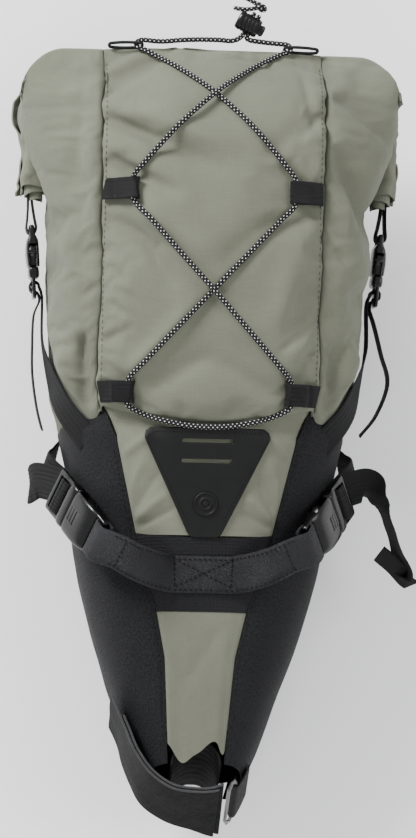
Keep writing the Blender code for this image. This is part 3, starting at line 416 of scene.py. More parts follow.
def mesh_object(name, points, faces, mat, uvs=None, angle=40.0):
    """An object with smooth faces; uvs, if given, has one (u, v) in metres for each point of each face."""
    mesh = bpy.data.meshes.new(name)
    mesh.from_pydata([tuple(p) for p in points], [], [tuple(f) for f in faces])
    layer = mesh.uv_layers.new(name="weave")
    if uvs is not None:
        layer.data.foreach_set("uv", np.array([c for f in uvs for uv in f for c in uv], np.float32))
    mesh.materials.append(mat)
    mesh.shade_smooth()
    mesh.set_sharp_from_angle(angle=math.radians(angle))
    mesh.validate()
    return link(bpy.data.objects.new(name, mesh))


def apply_modifiers(obj):
    depsgraph = bpy.context.evaluated_depsgraph_get()
    depsgraph.update()
    made = bpy.data.meshes.new_from_object(obj.evaluated_get(depsgraph), depsgraph=depsgraph)
    obj.modifiers.clear()
    obj.data = made
    return obj


def modify(obj, kind, **settings):
    modifier = obj.modifiers.new(kind.title(), kind)
    for key, value in settings.items():
        setattr(modifier, key, value)
    return modifier


def fix_normals(obj):
    shape = bmesh.new()
    shape.from_mesh(obj.data)
    bmesh.ops.recalc_face_normals(shape, faces=shape.faces)
    shape.to_mesh(obj.data)
    shape.free()


def ring_faces(rings, sides):
    """Faces of a closed skin over rings of points, with a cap on each end."""
    faces = []
    for r in range(rings - 1):
        for s in range(sides):
            t = (s + 1) % sides
            faces.append((r * sides + s, r * sides + t, (r + 1) * sides + t, (r + 1) * sides + s))
    faces.append(tuple(reversed(range(sides))))
    faces.append(tuple((rings - 1) * sides + s for s in range(sides)))
    return faces


def slab_faces(rows, cols):
    """Faces of a closed slab between two grids of points, the outer grid first."""
    below, faces = rows * cols, []
    for r in range(rows - 1):
        for c in range(cols - 1):
            quad = (r * cols + c, r * cols + c + 1, (r + 1) * cols + c + 1, (r + 1) * cols + c)
            faces += [quad, tuple(below + i for i in reversed(quad))]
    rim = list(range(cols)) + [r * cols + cols - 1 for r in range(1, rows)]
    rim += [(rows - 1) * cols + c for c in range(cols - 2, -1, -1)]
    rim += [r * cols for r in range(rows - 2, 0, -1)]
    for i, here in enumerate(rim):
        after = rim[(i + 1) % len(rim)]
        faces.append((after, here, below + here, below + after))
    return faces


def smooth_path(points, steps):
    """Points on a Catmull-Rom curve through the given ones, with steps parts between each two."""
    points = [Vector(p) for p in points]
    ends = [2 * points[0] - points[1]] + points + [2 * points[-1] - points[-2]]
    found = []
    for a, b, c, d in zip(ends, ends[1:], ends[2:], ends[3:]):
        for k in range(steps):
            t = k / steps
            found.append(
                0.5
                * (
                    2 * b
                    + (c - a) * t
                    + (2 * a - 5 * b + 4 * c - d) * t * t
                    + (3 * b - a - 3 * c + d) * t * t * t
                )
            )
    return found + [points[-1]]


def distances(path):
    found = [0.0]
    for a, b in zip(path, path[1:]):
        found.append(found[-1] + (b - a).length)
    return found


def evenly(path, spacing, extra=()):
    """The path's points again, spacing apart; extra lists of vectors are resampled with it."""
    along = distances(path)
    count = max(int(round(along[-1] / spacing)), 2)
    wanted = np.linspace(0, along[-1], count + 1)

    def again(rows):
        table = np.array([list(r) for r in rows])
        return [Vector([float(np.interp(w, along, table[:, k])) for k in range(3)]) for w in wanted]

    return [again(path)] + [again(rows) for rows in extra]


def swept(name, path, widths, section, mat, caps=True):
    """Sweeps a closed section of (across, out) points along a path with given width directions."""
    count = len(section)
    rim = [0.0]
    for k in range(count):
        a, b = Vector(section[k]), Vector(section[(k + 1) % count])
        rim.append(rim[-1] + (b - a).length)
    along = distances(path)
    points = []
    for i, point in enumerate(path):
        tangent = (path[min(i + 1, len(path) - 1)] - path[max(i - 1, 0)]).normalized()
        side = Vector(widths[i])
        side = (side - side.dot(tangent) * tangent).normalized()
        out = side.cross(tangent).normalized()
        points += [point + side * a + out * b for a, b in section]
    faces, uvs = [], []
    for i in range(len(path) - 1):
        for s in range(count):
            t = (s + 1) % count
            faces.append((i * count + s, i * count + t, (i + 1) * count + t, (i + 1) * count + s))
            low, high = (rim[s], along[i]), (rim[s + 1], along[i + 1])
            uvs.append(((low[0], low[1]), (high[0], low[1]), (high[0], high[1]), (low[0], high[1])))
    if caps:
        last = (len(path) - 1) * count
        faces.append(tuple(reversed(range(count))))
        faces.append(tuple(last + s for s in range(count)))
        uvs += [[(c * 0.0005, 0.0) for c in range(count)]] * 2
    return mesh_object(name, points, faces, mat, uvs, 55.0)


def strap_section(width, thickness, ribs=5, depth=0.00022):
    """A webbing's section: two ribbed faces and two rounded edges."""
    count = ribs * 4
    top = []
    for k in range(count + 1):
        share = k / count
        x = (share - 0.5) * (width - thickness * 0.8)
        rib = depth * (0.5 - 0.5 * math.cos(2 * math.pi * ribs * share))
        top.append((x, thickness / 2 - depth + rib))
    edge = width / 2
    right = [(edge - 0.02 * thickness, 0.22 * thickness), (edge, 0.0),
             (edge - 0.02 * thickness, -0.22 * thickness)]
    bottom = [(x, -z) for x, z in reversed(top)]
    return top + right + bottom + [(-x, -z) for x, z in right]


def width_vectors(path, start, end, turn):
    along = distances(path)
    found = []
    for a in along:
        share = (a / along[-1] - turn[0]) / (turn[1] - turn[0])
        share = min(max(share, 0.0), 1.0)
        found.append(Vector(start).lerp(Vector(end), share))
    return found


def strap(name, path, widths, width, thickness, mat=None, ribs=5, spacing=0.0012):
    path, widths = evenly(path, spacing, (widths,))
    return swept(name, path, widths, strap_section(width, thickness, ribs), mat or WEBBING)


def tube(name, path, radius, mat, sides=14, spacing=0.0008, cyclic=False, ends=True):
    """A round cord with rounded ends, its weave running round (0 to 1) and along in metres."""
    path = evenly(path, spacing)[0]
    if cyclic:
        path = path[:-1]
    total = len(path)
    tangents = []
    for i in range(total):
        ahead = path[(i + 1) % total] if cyclic else path[min(i + 1, total - 1)]
        behind = path[i - 1] if cyclic else path[max(i - 1, 0)]
        tangents.append((ahead - behind).normalized())
    side = tangents[0].orthogonal().normalized()
    frames = []
    for t in tangents:
        side = (side - side.dot(t) * t).normalized()
        frames.append((side, t.cross(side)))
    along = distances(path)
    points, faces, uvs = [], [], []
    scale = [1.0] * total
    if ends and not cyclic:
        for k, share in ((0, 0.45), (1, 0.85)):
            scale[k] = scale[total - 1 - k] = share
    for i, point in enumerate(path):
        a, b = frames[i]
        for s in range(sides):
            angle = 2 * math.pi * s / sides
            points.append(point + (a * math.cos(angle) + b * math.sin(angle)) * radius * scale[i])
    for i in range(total if cyclic else total - 1):
        j = (i + 1) % total
        for s in range(sides):
            t = (s + 1) % sides
            faces.append((i * sides + s, i * sides + t, j * sides + t, j * sides + s))
            v0 = along[i]
            v1 = along[i] + (path[j] - path[i]).length
            u0, u1 = s / sides, (s + 1) / sides
            uvs.append(((u0, v0), (u1, v0), (u1, v1), (u0, v1)))
    if not cyclic:
        last = (total - 1) * sides
        faces.append(tuple(reversed(range(sides))))
        faces.append(tuple(last + s for s in range(sides)))
        uvs += [[(0.0, 0.0)] * sides] * 2
    return mesh_object(name, points, faces, mat, uvs, 60.0)


def surface_tree(*objs):
    """A search tree over the meshes of objects that sit at the origin."""
    points, faces = [], []
    for obj in objs:
        base = len(points)
        points += [v.co.copy() for v in obj.data.vertices]
        faces += [[base + i for i in p.vertices] for p in obj.data.polygons]
    return BVHTree.FromPolygons(points, faces)


def stitches(name, tree, course, mat, length=0.0024, gap=0.0010, radius=0.00024, lift=0.00006, body="bag"):
    """Sewn thread: short rounded stitches along a course of (point, direction to look along)."""
    path = [Vector(p) for p, _ in course]
    looks = [Vector(d) for _, d in course]
    path, looks = evenly(path, 0.0004, (looks,))
    along = distances(path)
    landed = []
    for p, look in zip(path, looks):
        look = look.normalized()
        hit, normal, _, _ = tree.ray_cast(p - look * 0.02, look, 0.045)
        if hit is None:
            landed.append(None)
            continue
        normal = normal if normal.dot(look) < 0 else -normal
        landed.append((hit + normal * lift, normal))
    points, faces = [], []
    sides, rings = 6, 5

    def at(distance):
        index = int(np.searchsorted(along, distance))
        return landed[min(index, len(landed) - 1)]

    position = 0.0
    while position + length <= along[-1]:
        spots = [at(position + length * k / (rings - 1)) for k in range(rings)]
        position += length + gap
        if any(s is None for s in spots):
            continue
        if (spots[0][0] - spots[-1][0]).length > 2.5 * length:
            continue
        base = len(points)
        for k, (spot, normal) in enumerate(spots):
            ahead = spots[min(k + 1, rings - 1)][0] - spots[max(k - 1, 0)][0]
            ahead.normalize()
            side = normal.cross(ahead).normalized()
            share = k / (rings - 1)
            swell = (0.25, 0.9, 1.0, 0.9, 0.25)[k] * radius
            sink = (-0.8, 0.1, 0.4, 0.1, -0.8)[k] * radius
            for s in range(sides):
                angle = 2 * math.pi * s / sides
                points.append(spot + normal * (sink + math.sin(angle) * swell) + side * math.cos(angle) * swell)
        for k in range(rings - 1):
            for s in range(sides):
                t = (s + 1) % sides
                a, b = base + k * sides, base + (k + 1) * sides
                faces.append((a + s, a + t, b + t, b + s))
        faces.append(tuple(base + s for s in reversed(range(sides))))
        faces.append(tuple(base + (rings - 1) * sides + s for s in range(sides)))
    if not faces:
        return None
    obj = mesh_object(name, points, faces, mat, None, 60.0)
    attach(obj, body)
    return obj


# ---------------------------------------------------------------- the stuffed bag's surface

# y, half width, underside height, top height and forward lean of the frame's sections
STATIONS = (
    (-0.272, 0.0325, 0.044, 0.0965, 0.55),
    (-0.216, 0.0545, 0.017, 0.112, 0.36),
    (-0.161, 0.0765, 0.002, 0.126, 0.12),
    (-0.107, 0.0885, -0.004, 0.138, 0.0),
    (-0.075, 0.0915, -0.004, 0.145, 0.0),
    (-0.025, 0.1025, -0.004, 0.156, 0.0),
    (0.043, 0.1090, -0.004, 0.168, 0.0),
    (0.110, 0.1095, -0.003, 0.171, 0.0),
    (0.150, 0.1085, 0.034, 0.168, 0.0),
    (0.180, 0.1085, 0.080, 0.157, 0.0),
    (0.199, 0.1100, 0.113, 0.143, 0.0),
    (0.216, 0.1120, 0.1225, 0.131, 0.0),
)
SQUARENESS = 2.8
UNDERSIDE_ANGLE = math.radians(52)
SACK_SEAM = 0.075
SEAM_MARKS = (
    (-0.272, 0.0195),
    (-0.200, 0.0245),
    (-0.165, 0.0320),
    (-0.115, 0.0475),
    (-0.050, 0.0625),
    (-0.030, SACK_SEAM),
)


def station(y):
    """Half width, underside height, top height and lean of the section at y."""
    rows = STATIONS
    if y <= rows[0][0]:
        return rows[0][1:]
    for i in range(len(rows) - 1):
        if y <= rows[i + 1][0]:
            break
    before, a, b, after = rows[max(i - 1, 0)], rows[i], rows[i + 1], rows[min(i + 2, len(rows) - 1)]
    span = b[0] - a[0]
    t = min((y - a[0]) / span, 1.0)
    found = []
    for k in range(1, 5):
        slope_a = (b[k] - before[k]) / (b[0] - before[0]) * span
        slope_b = (after[k] - a[k]) / (after[0] - a[0]) * span
        found.append(
            (2 * t**3 - 3 * t**2 + 1) * a[k]
            + (t**3 - 2 * t**2 + t) * slope_a
            + (3 * t**2 - 2 * t**3) * b[k]
            + (t**3 - t**2) * slope_b
        )
    return found


def power(value, exponent):
    return math.copysign(abs(value) ** exponent, value)


def skin(y, angle, lift=0.0):
    """The point of the section at y and angle, lifted off the surface. 90 degrees is the top."""
    half, low, high, lean = station(y)
    x = (half + lift) * power(math.cos(angle), 2 / SQUARENESS)
    z = (low + high) / 2 + ((high - low) / 2 + lift) * power(math.sin(angle), 2 / SQUARENESS)
    z = max(z, -lift)
    return Vector((x, y - lean * (high - z), z))


def angle_at(y, x):
    """The angle at which the top of the section at y is x from the middle."""
    share = min(abs(x) / station(y)[0], 1.0)
    angle = math.acos(share ** (SQUARENESS / 2))
    return angle if x >= 0 else math.pi - angle


def on_top(x, y, lift=0.0):
    half, low, high, _ = station(y)
    share = (1 - min(abs(x) / half, 1.0) ** SQUARENESS) ** (1 / SQUARENESS)
    return Vector((x, y, (low + high) / 2 + (high - low) / 2 * share + lift))


def seam_x(y):
    if y >= SEAM_MARKS[-1][0]:
        return SACK_SEAM
    return float(np.interp(y, [m[0] for m in SEAM_MARKS], [m[1] for m in SEAM_MARKS]))


def smooth_step(low, high, value):
    t = min(max((value - low) / (high - low), 0.0), 1.0)
    return t * t * (3 - 2 * t)


def ridge(point, start, end, width):
    """1 on the line from start to end on the top face, falling to 0 a width away; softer at the ends."""
    a, b, p = Vector(start), Vector(end), Vector(point)
    along = (p - a).dot(b - a) / (b - a).length_squared
    t = min(max(along, 0.0), 1.0)
    off = (p - a.lerp(b, t)).length / width
    fade = smooth_step(-0.05, 0.25, along) * (1 - smooth_step(0.7, 1.05, along))
    return math.exp(-off * off) * fade


def wave_noise(x, y, z, scale, seed=0.0):
    return noise.noise(Vector((x * scale + seed, y * scale - seed, z * scale + 2 * seed)))


# Folds of the sack: start, end, width and height on the top face. They run from the places that pull it.
SACK_FOLDS = (
    ((-0.073, 0.165), (0.010, 0.125), 0.0075, -0.0036),
    ((-0.073, 0.178), (0.020, 0.140), 0.0070, 0.0024),
    ((-0.073, 0.135), (-0.020, 0.108), 0.0060, -0.0026),
    ((0.073, 0.176), (0.028, 0.128), 0.0090, -0.0022),
    ((-0.052, 0.108), (0.012, 0.060), 0.0080, 0.0022),
    ((-0.058, 0.098), (-0.020, 0.040), 0.0060, -0.0018),
    ((0.052, 0.106), (0.000, 0.060), 0.0080, -0.0020),
    ((0.058, 0.100), (0.040, 0.020), 0.0080, 0.0016),
    ((-0.054, -0.012), (-0.010, 0.040), 0.0070, 0.0022),
    ((-0.048, -0.020), (0.006, 0.010), 0.0060, -0.0018),
    ((0.054, -0.012), (0.008, 0.035), 0.0070, 0.0022),
    ((0.048, -0.022), (-0.004, 0.006), 0.0060, -0.0018),
    ((-0.092, 0.150), (-0.082, 0.020), 0.0070, -0.0026),
    ((-0.084, 0.020), (-0.080, -0.040), 0.0040, -0.0040),
    ((-0.094, 0.010), (-0.090, -0.040), 0.0055, 0.0030),
    ((0.086, 0.020), (0.082, -0.040), 0.0040, -0.0040),
    ((0.096, 0.020), (0.090, -0.040), 0.0055, 0.0030),
    ((0.078, 0.150), (0.106, 0.090), 0.0070, -0.0034),
    ((0.080, 0.120), (0.104, 0.050), 0.0070, 0.0026),
    ((0.080, 0.190), (0.108, 0.150), 0.0060, -0.0026),
)


def sack_relief(point):
    """How far the stuffed sack's fabric stands off the frame's surface at a point of it."""
    x, y, z = point
    top = smooth_step(0.06, 0.12, z)
    relief = 0.0036 * wave_noise(x, y, z, 15.0, 3.1) + 0.0016 * wave_noise(x, y, z, 36.0, 8.7)
    for start, end, width, height in SACK_FOLDS:
        relief += 1.7 * height * ridge((x, y), start, end, width) * top
    # puckers where the seams gather the fabric, and bulges between them
    seam = abs(abs(x) - SACK_SEAM)
    near = math.exp(-((seam / 0.010) ** 2)) * top
    relief += 0.0015 * near * (0.45 - abs(wave_noise(seam * 0.4, y, 0.0, 75.0, 5.0 if x > 0 else 9.0)) * 1.6)
    relief -= 0.0024 * math.exp(-((seam / 0.0020) ** 2)) * top
    relief += 0.0010 * math.exp(-(((seam - 0.009) / 0.006) ** 2)) * top
    return relief


SACK_ROWS = 92
SACK_END = 0.2165


def sack_rim(angle):
    """y of the sack's lower edge at an angle: an arc over the patch, a lobe outside each seam."""
    spot = skin(-0.030, angle)
    x, z = abs(spot.x), spot.z
    if x < SACK_SEAM and z > 0.08:
        return -0.0425 + 2.0 * x * x
    lobe = 0.0085 * math.exp(-(((x - 0.083) / 0.006) ** 2)) if z > 0.1 else 0.0
    return -0.0345 - lobe - 0.018 * smooth_step(0.125, 0.075, z)


def sheet_object(name, grid, mat):
    """A sheet from a grid of points, with its weave in metres along rows and columns."""
    rows, cols = len(grid), len(grid[0])
    points = [p for row in grid for p in row]
    v_at = [[0.0] * cols for _ in range(rows)]
    u_at = [[0.0] * cols for _ in range(rows)]
    for r in range(rows):
        for c in range(cols):
            if c:
                u_at[r][c] = u_at[r][c - 1] + (grid[r][c] - grid[r][c - 1]).length
            if r:
                v_at[r][c] = v_at[r - 1][c] + (grid[r][c] - grid[r - 1][c]).length
        middle = u_at[r][cols // 2]
        for c in range(cols):
            u_at[r][c] -= middle
    faces, uvs = [], []
    for r in range(rows - 1):
        for c in range(cols - 1):
            spots = ((r, c), (r, c + 1), (r + 1, c + 1), (r + 1, c))
            faces.append([i * cols + j for i, j in spots])
            uvs.append([(u_at[i][j], v_at[i][j]) for i, j in spots])
    return mesh_object(name, points, faces, mat, uvs, 70.0)


def settle(obj, pins, grow, pressure, cap, frames=18, stiffness=12.0, bending=0.4):
    """Swells a sheet between its pinned points by cloth simulation and applies the result."""
    before = np.array([v.co for v in obj.data.vertices])
    group = obj.vertex_groups.new(name="sewn")
    for index, weight in enumerate(pins):
        if weight > 0.01:
            group.add([index], float(weight), "REPLACE")
    cloth = modify(obj, "CLOTH")
    cloth.settings.vertex_group_mass = "sewn"
    cloth.settings.pin_stiffness = 1.0
    cloth.settings.quality = 6
    cloth.settings.mass = 0.2
    cloth.settings.tension_stiffness = stiffness
    cloth.settings.compression_stiffness = stiffness
    cloth.settings.shear_stiffness = stiffness / 3
    cloth.settings.bending_stiffness = bending
    cloth.settings.air_damping = 4.0
    cloth.settings.shrink_min = -grow
    cloth.settings.use_pressure = True
    cloth.settings.uniform_pressure_force = pressure
    cloth.settings.effector_weights.gravity = 0.0
    cloth.collision_settings.use_collision = False
    scene = bpy.context.scene
    cloth.point_cache.frame_start, cloth.point_cache.frame_end = 1, frames
    for step in range(1, frames + 1):
        scene.frame_set(step)
    apply_modifiers(obj)
    scene.frame_set(1)
    after = np.array([v.co for v in obj.data.vertices])
    move = after - before
    size = np.linalg.norm(move, axis=1)
    limit = np.minimum(1.0, cap / np.maximum(size, 1e-9))
    placed = before + move * limit[:, None]
    obj.data.vertices.foreach_set("co", placed.astype(np.float32).ravel())
    obj.data.update()
    return obj


def thicken(obj, thickness, levels=1):
    if levels:
        modify(obj, "SUBSURF", levels=levels, render_levels=levels)
        apply_modifiers(obj)
    modify(obj, "SOLIDIFY", thickness=thickness, offset=-1.0, use_rim=True)
    apply_modifiers(obj)
    obj.data.shade_smooth()
    obj.data.set_sharp_from_angle(angle=math.radians(60))
    return obj


SIDE_COLS, CENTRE_COLS = 44, 62
STRAP_COURSE = (  # the webbing that lies on the sack's side, as (x, y, z) on the right
    (0.0835, -0.050, 0.1322), (0.0975, -0.032, 0.1235), (0.1065, -0.010, 0.111), (0.1125, 0.015, 0.0995),
    (0.117, 0.045, 0.096),
)


def near_strap(point):
    """1 where the side webbing presses the sack, falling to 0 beside it."""
    spot = Vector((abs(point.x), point.y, point.z))
    best = 1.0
    for a, b in zip(STRAP_COURSE, STRAP_COURSE[1:]):
        a, b = Vector(a), Vector(b)
        t = min(max((spot - a).dot(b - a) / (b - a).length_squared, 0.0), 1.0)
        best = min(best, (spot - a.lerp(b, t)).length)
    return 1 - smooth_step(0.010, 0.020, best)


def sack_angles(y):
    """The angles of the sack's columns at y, with a column on each seam."""
    edge = angle_at(y, SACK_SEAM)
    last = math.pi + UNDERSIDE_ANGLE
    left = [last + (math.pi - edge - last) * c / SIDE_COLS for c in range(SIDE_COLS)]
    middle = [math.pi - edge + (2 * edge - math.pi) * c / CENTRE_COLS for c in range(CENTRE_COLS)]
    right = [edge + (-UNDERSIDE_ANGLE - edge) * c / SIDE_COLS for c in range(SIDE_COLS + 1)]
    return left + middle + right


# Crisp creases pressed into the finished fabric: start, end, width and depth on the top face.
SACK_CREASES = (
    ((-0.0860, 0.018), (-0.0800, -0.034), 0.0022, 0.0052),
    ((-0.0790, 0.012), (-0.0765, -0.010), 0.0018, 0.0022),
    ((0.0850, 0.000), (0.0835, -0.036), 0.0020, 0.0036),
    ((-0.0740, 0.166), (-0.0300, 0.146), 0.0026, 0.0024),
    ((-0.0740, 0.140), (-0.0400, 0.120), 0.0024, 0.0020),
    ((0.0740, 0.172), (0.0560, 0.150), 0.0026, 0.0020),
    ((0.0740, 0.096), (0.0600, 0.108), 0.0022, 0.0022),
    ((0.0760, 0.086), (0.0960, 0.066), 0.0026, 0.0026),
    ((0.0740, 0.030), (0.0440, 0.004), 0.0026, 0.0026),
    ((0.0740, 0.012), (0.0560, -0.006), 0.0022, 0.0022),
    ((-0.0740, 0.040), (-0.0560, 0.028), 0.0022, 0.0020),
    ((-0.0740, 0.012), (-0.0520, 0.022), 0.0022, 0.0018),
    ((-0.0760, 0.052), (-0.0900, 0.040), 0.0022, 0.0018),
    ((0.0800, 0.150), (0.1000, 0.120), 0.0030, 0.0026),
    ((-0.0900, 0.195), (-0.0950, 0.120), 0.0030, 0.0026),
    ((0.0600, 0.200), (0.0700, 0.150), 0.0028, 0.0020),
)


def press_creases(point, normal):
    for start, end, width, depth in SACK_CREASES:
        middle = ((start[0] + end[0]) / 2, (start[1] + end[1]) / 2)
        if abs(point.x - middle[0]) + abs(point.y - middle[1]) > 0.07:
            continue
        a, b = Vector(start), Vector(end)
        p = Vector((point.x, point.y))
        line = (b - a).normalized()
        across = (p - a).dot(Vector((-line.y, line.x)))
        along = (p - a).dot(line) / (b - a).length
        fade = smooth_step(-0.12, 0.2, along) * (1 - smooth_step(0.6, 1.1, along))
        valley = math.exp(-((across / width) ** 2))
        shoulder = math.exp(-(((across - 2.2 * width) / (1.6 * width)) ** 2))
        point = point + normal * (0.45 * shoulder - valley) * depth * fade
    return point


SHOULDER_CENTRE, SHOULDER_RADIUS = (0.0964, 0.1835), 0.0345  # the roll's outer corner
SHOULDER_OUT, SHOULDER_DOWN = 0.0200, 0.0030  # how far the fabric moves at the corner


def shoulder_share(point):
    """1 where the sack's fabric runs out over the roll's leg, falling to 0 on the rest of the sack."""
    out = smooth_step(0.084, 0.106, abs(point.x))
    return out * smooth_step(0.1175, 0.1235, point.z) * smooth_step(0.085, 0.165, point.y)


def over_shoulder(point):
    """The fabric's point moved out over the roll's leg and kept inside the roll's rounded corner."""
    share = shoulder_share(point)
    x = abs(point.x) + SHOULDER_OUT * share
    z = point.z - SHOULDER_DOWN * share
    beyond = min(max(x - SHOULDER_CENTRE[0], 0.0) / SHOULDER_RADIUS, 0.999)
    limit = SHOULDER_CENTRE[1] + SHOULDER_RADIUS * math.sqrt(1 - beyond * beyond)
    y = min(point.y, limit) if z > 0.115 else point.y
    return Vector((math.copysign(x, point.x), y, z))


TURN_DOWN_ROWS, TURN_DOWN_TO = 7, 0.1085


def turn_down(edge, share):
    """A point of the sack's top edge carried down into the roll, with a rounded shoulder."""
    drop = max(edge.z - TURN_DOWN_TO, 0.0) * share
    inward = 0.0045 * share * share if abs(edge.x) > 0.100 else 0.0
    bulge = 0.0010 * math.sin(math.pi * share) - 0.0060 * share * share
    return Vector((edge.x - math.copysign(inward, edge.x), edge.y + bulge, edge.z - drop))


def make_sack():
    turned = 5  # rows that turn under at the lower edge
    grid, pins = [], []
    for r in range(SACK_ROWS + turned + 1):
        row = []
        share = max(r - turned, 0) / SACK_ROWS
        for c, angle in enumerate(sack_angles(-0.03 + 0.24 * share)):
            rim = sack_rim(angle)
            crown = 0.0
            if math.sin(angle) > 0:
                crown = 0.0065 * (1 - smooth_step(0.020, 0.078, abs(skin(0.19, angle).x)))
            if r < turned:
                under = 1 - r / turned
                y = rim + 0.0025 + 0.010 * under
                lift = -0.0052 + 0.0030 * (1 - under)
            else:
                y = rim + (SACK_END + crown - rim) * share**1.05
                reach = y - rim
                lift = 0.0030 * (1 - math.exp(-((reach / 0.012) ** 2)))
                lift -= 0.0020 * math.exp(-((reach / 0.004) ** 2))
                lift *= 1 - smooth_step(0.165, 0.214, y)
            spot = skin(y, angle, 0.0)
            lift *= smooth_step(0.060, 0.125, spot.z)
            lift -= 0.0012 * (1 - smooth_step(0.060, 0.115, spot.z))
            pressed = near_strap(spot)
            fade = 0.0
            if r >= turned:
                fade = smooth_step(0.0, 0.012, y - rim) * (1 - smooth_step(0.195, 0.216, y))
            column = min(c, 2 * SIDE_COLS + CENTRE_COLS - c)
            edge = smooth_step(0.0, 8.0, column) * (1 - pressed)
            relief = sack_relief(spot) * fade * edge if fade > 0 else 0.0
            cloth = skin(y, angle, lift + relief - 0.0012 * pressed)
            row.append(over_shoulder(cloth))
            seam = 1.0 if c in (SIDE_COLS, SIDE_COLS + CENTRE_COLS) else 0.0
            side = 0.35 * (1 - smooth_step(0.07, 0.13, spot.z))
            hold = max(
                seam,
                pressed,
                side,
                0.7 * shoulder_share(cloth),
                1.0 if r <= turned + 1 or r >= SACK_ROWS + turned - 1 else 0.0,
                1.0 if column < 3 else 0.0,
            )
            pins.append(hold)
        grid.append(row)
    edge_row = grid[-1]
    for k in range(1, TURN_DOWN_ROWS + 1):
        grid.append([turn_down(edge, k / TURN_DOWN_ROWS) for edge in edge_row])
        pins += [1.0] * len(edge_row)
    whole = sheet_object("sack_whole", grid, SAGE)
    settle(whole, pins, 0.045, 2.2, 0.0055)
    cols = len(grid[0])
    normals = [v.normal.copy() for v in whole.data.vertices]
    placed = []
    for index, vertex in enumerate(whole.data.vertices):
        spot = vertex.co.copy()
        if spot.z > 0.10:
            normal = normals[index] if normals[index].z > 0 else -normals[index]
            spot = press_creases(spot, normal)
        placed.append(spot)
    bpy.data.objects.remove(whole, do_unlink=True)
    made = []
    spans = (
        ("sack_side_left", 0, SIDE_COLS, "sack_side_panel_left"),
        ("sack_centre", SIDE_COLS, SIDE_COLS + CENTRE_COLS, "sack_centre_panel"),
        ("sack_side_right", SIDE_COLS + CENTRE_COLS, cols - 1, "sack_side_panel_right"),
    )
    for name, first, last, node in spans:
        part = []
        for r in range(len(grid)):
            line = [placed[r * cols + c] for c in range(first, last + 1)]
            for at_start in (True, False):
                if (at_start and first == 0) or (not at_start and last == cols - 1):
                    continue
                edge, inner = (line[0], line[1]) if at_start else (line[-1], line[-2])
                towards = (inner - edge).normalized()
                sunk = edge + towards * 0.00010 - Vector((0, 0, 0.0022))
                rounded = edge + towards * 0.0003 - Vector((0, 0, 0.0005))
                if at_start:
                    line = [sunk, rounded] + line[1:]
                else:
                    line = line[:-1] + [rounded, sunk]
            part.append(line)
        piece = sheet_object(name, part, SAGE)
        thicken(piece, 0.0012)
        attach(piece, "bag")
        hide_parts(node)
        made.append(piece)
    return made


HOLSTER_TOP = -0.024


def holster_relief(point, green):
    x, y, z = point
    relief = 0.0010 * wave_noise(x, y, z, 22.0, 4.4) + 0.0005 * wave_noise(x, y, z, 55.0, 1.2)
    if green and y > -0.12:
        for side in (-1, 1):
            px = x * side
            for start, end, width, height in (
                ((0.052, -0.112), (0.024, -0.088), 0.0034, 0.0020),
                ((0.047, -0.113), (0.018, -0.098), 0.0026, -0.0014),
                ((0.050, -0.104), (0.030, -0.072), 0.0034, -0.0014),
                ((0.056, -0.098), (0.040, -0.062), 0.0040, 0.0016),
                ((0.060, -0.066), (0.036, -0.048), 0.0034, 0.0016),
            ):
                relief += height * ridge((px, y), start, end, width)
    if green and y < -0.17:
        relief += 0.0010 * ridge((x, y), (-0.018, -0.180), (0.020, -0.240), 0.006)
        relief -= 0.0010 * ridge((x, y), (0.016, -0.176), (-0.014, -0.225), 0.005)
    return relief


def holster_part(name, y_span, x_span, mat, rows, cols, green, nodes, lift=0.0, crown=0.0):
    """A panel of the holster between two edges, sunk at its seams and crowned between them."""
    grid = []
    for r in range(rows + 1):
        line = []
        for c in range(cols + 1):
            across = c / cols
            near, far = y_span(across)
            y = near + (far - near) * r / rows
            first, last = x_span(y)
            angle = first + (last - first) * across
            edge = min(across, 1 - across) * 2
            raise_by = lift + crown * (1 - (1 - edge) ** 4) - 0.0009 * math.exp(-((edge * cols / 2 / 1.4) ** 2))
            spot = skin(y, angle, 0.0)
            tuck = -0.0046 * smooth_step(-0.056, -0.036, y) if green else -0.0052 * smooth_step(-0.050,
                -0.030, y)
            line.append(skin(y, angle, raise_by + tuck + holster_relief(spot, green) * min(1.0, edge * 6)))
        grid.append(line)
    made = sheet_object(name, grid, mat)
    thicken(made, 0.0012)
    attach(made, "bag")
    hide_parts(*nodes)
    return made


def seam_angles(y, inset=0.0):
    edge = angle_at(y, seam_x(y) - inset)
    return math.pi - edge, edge


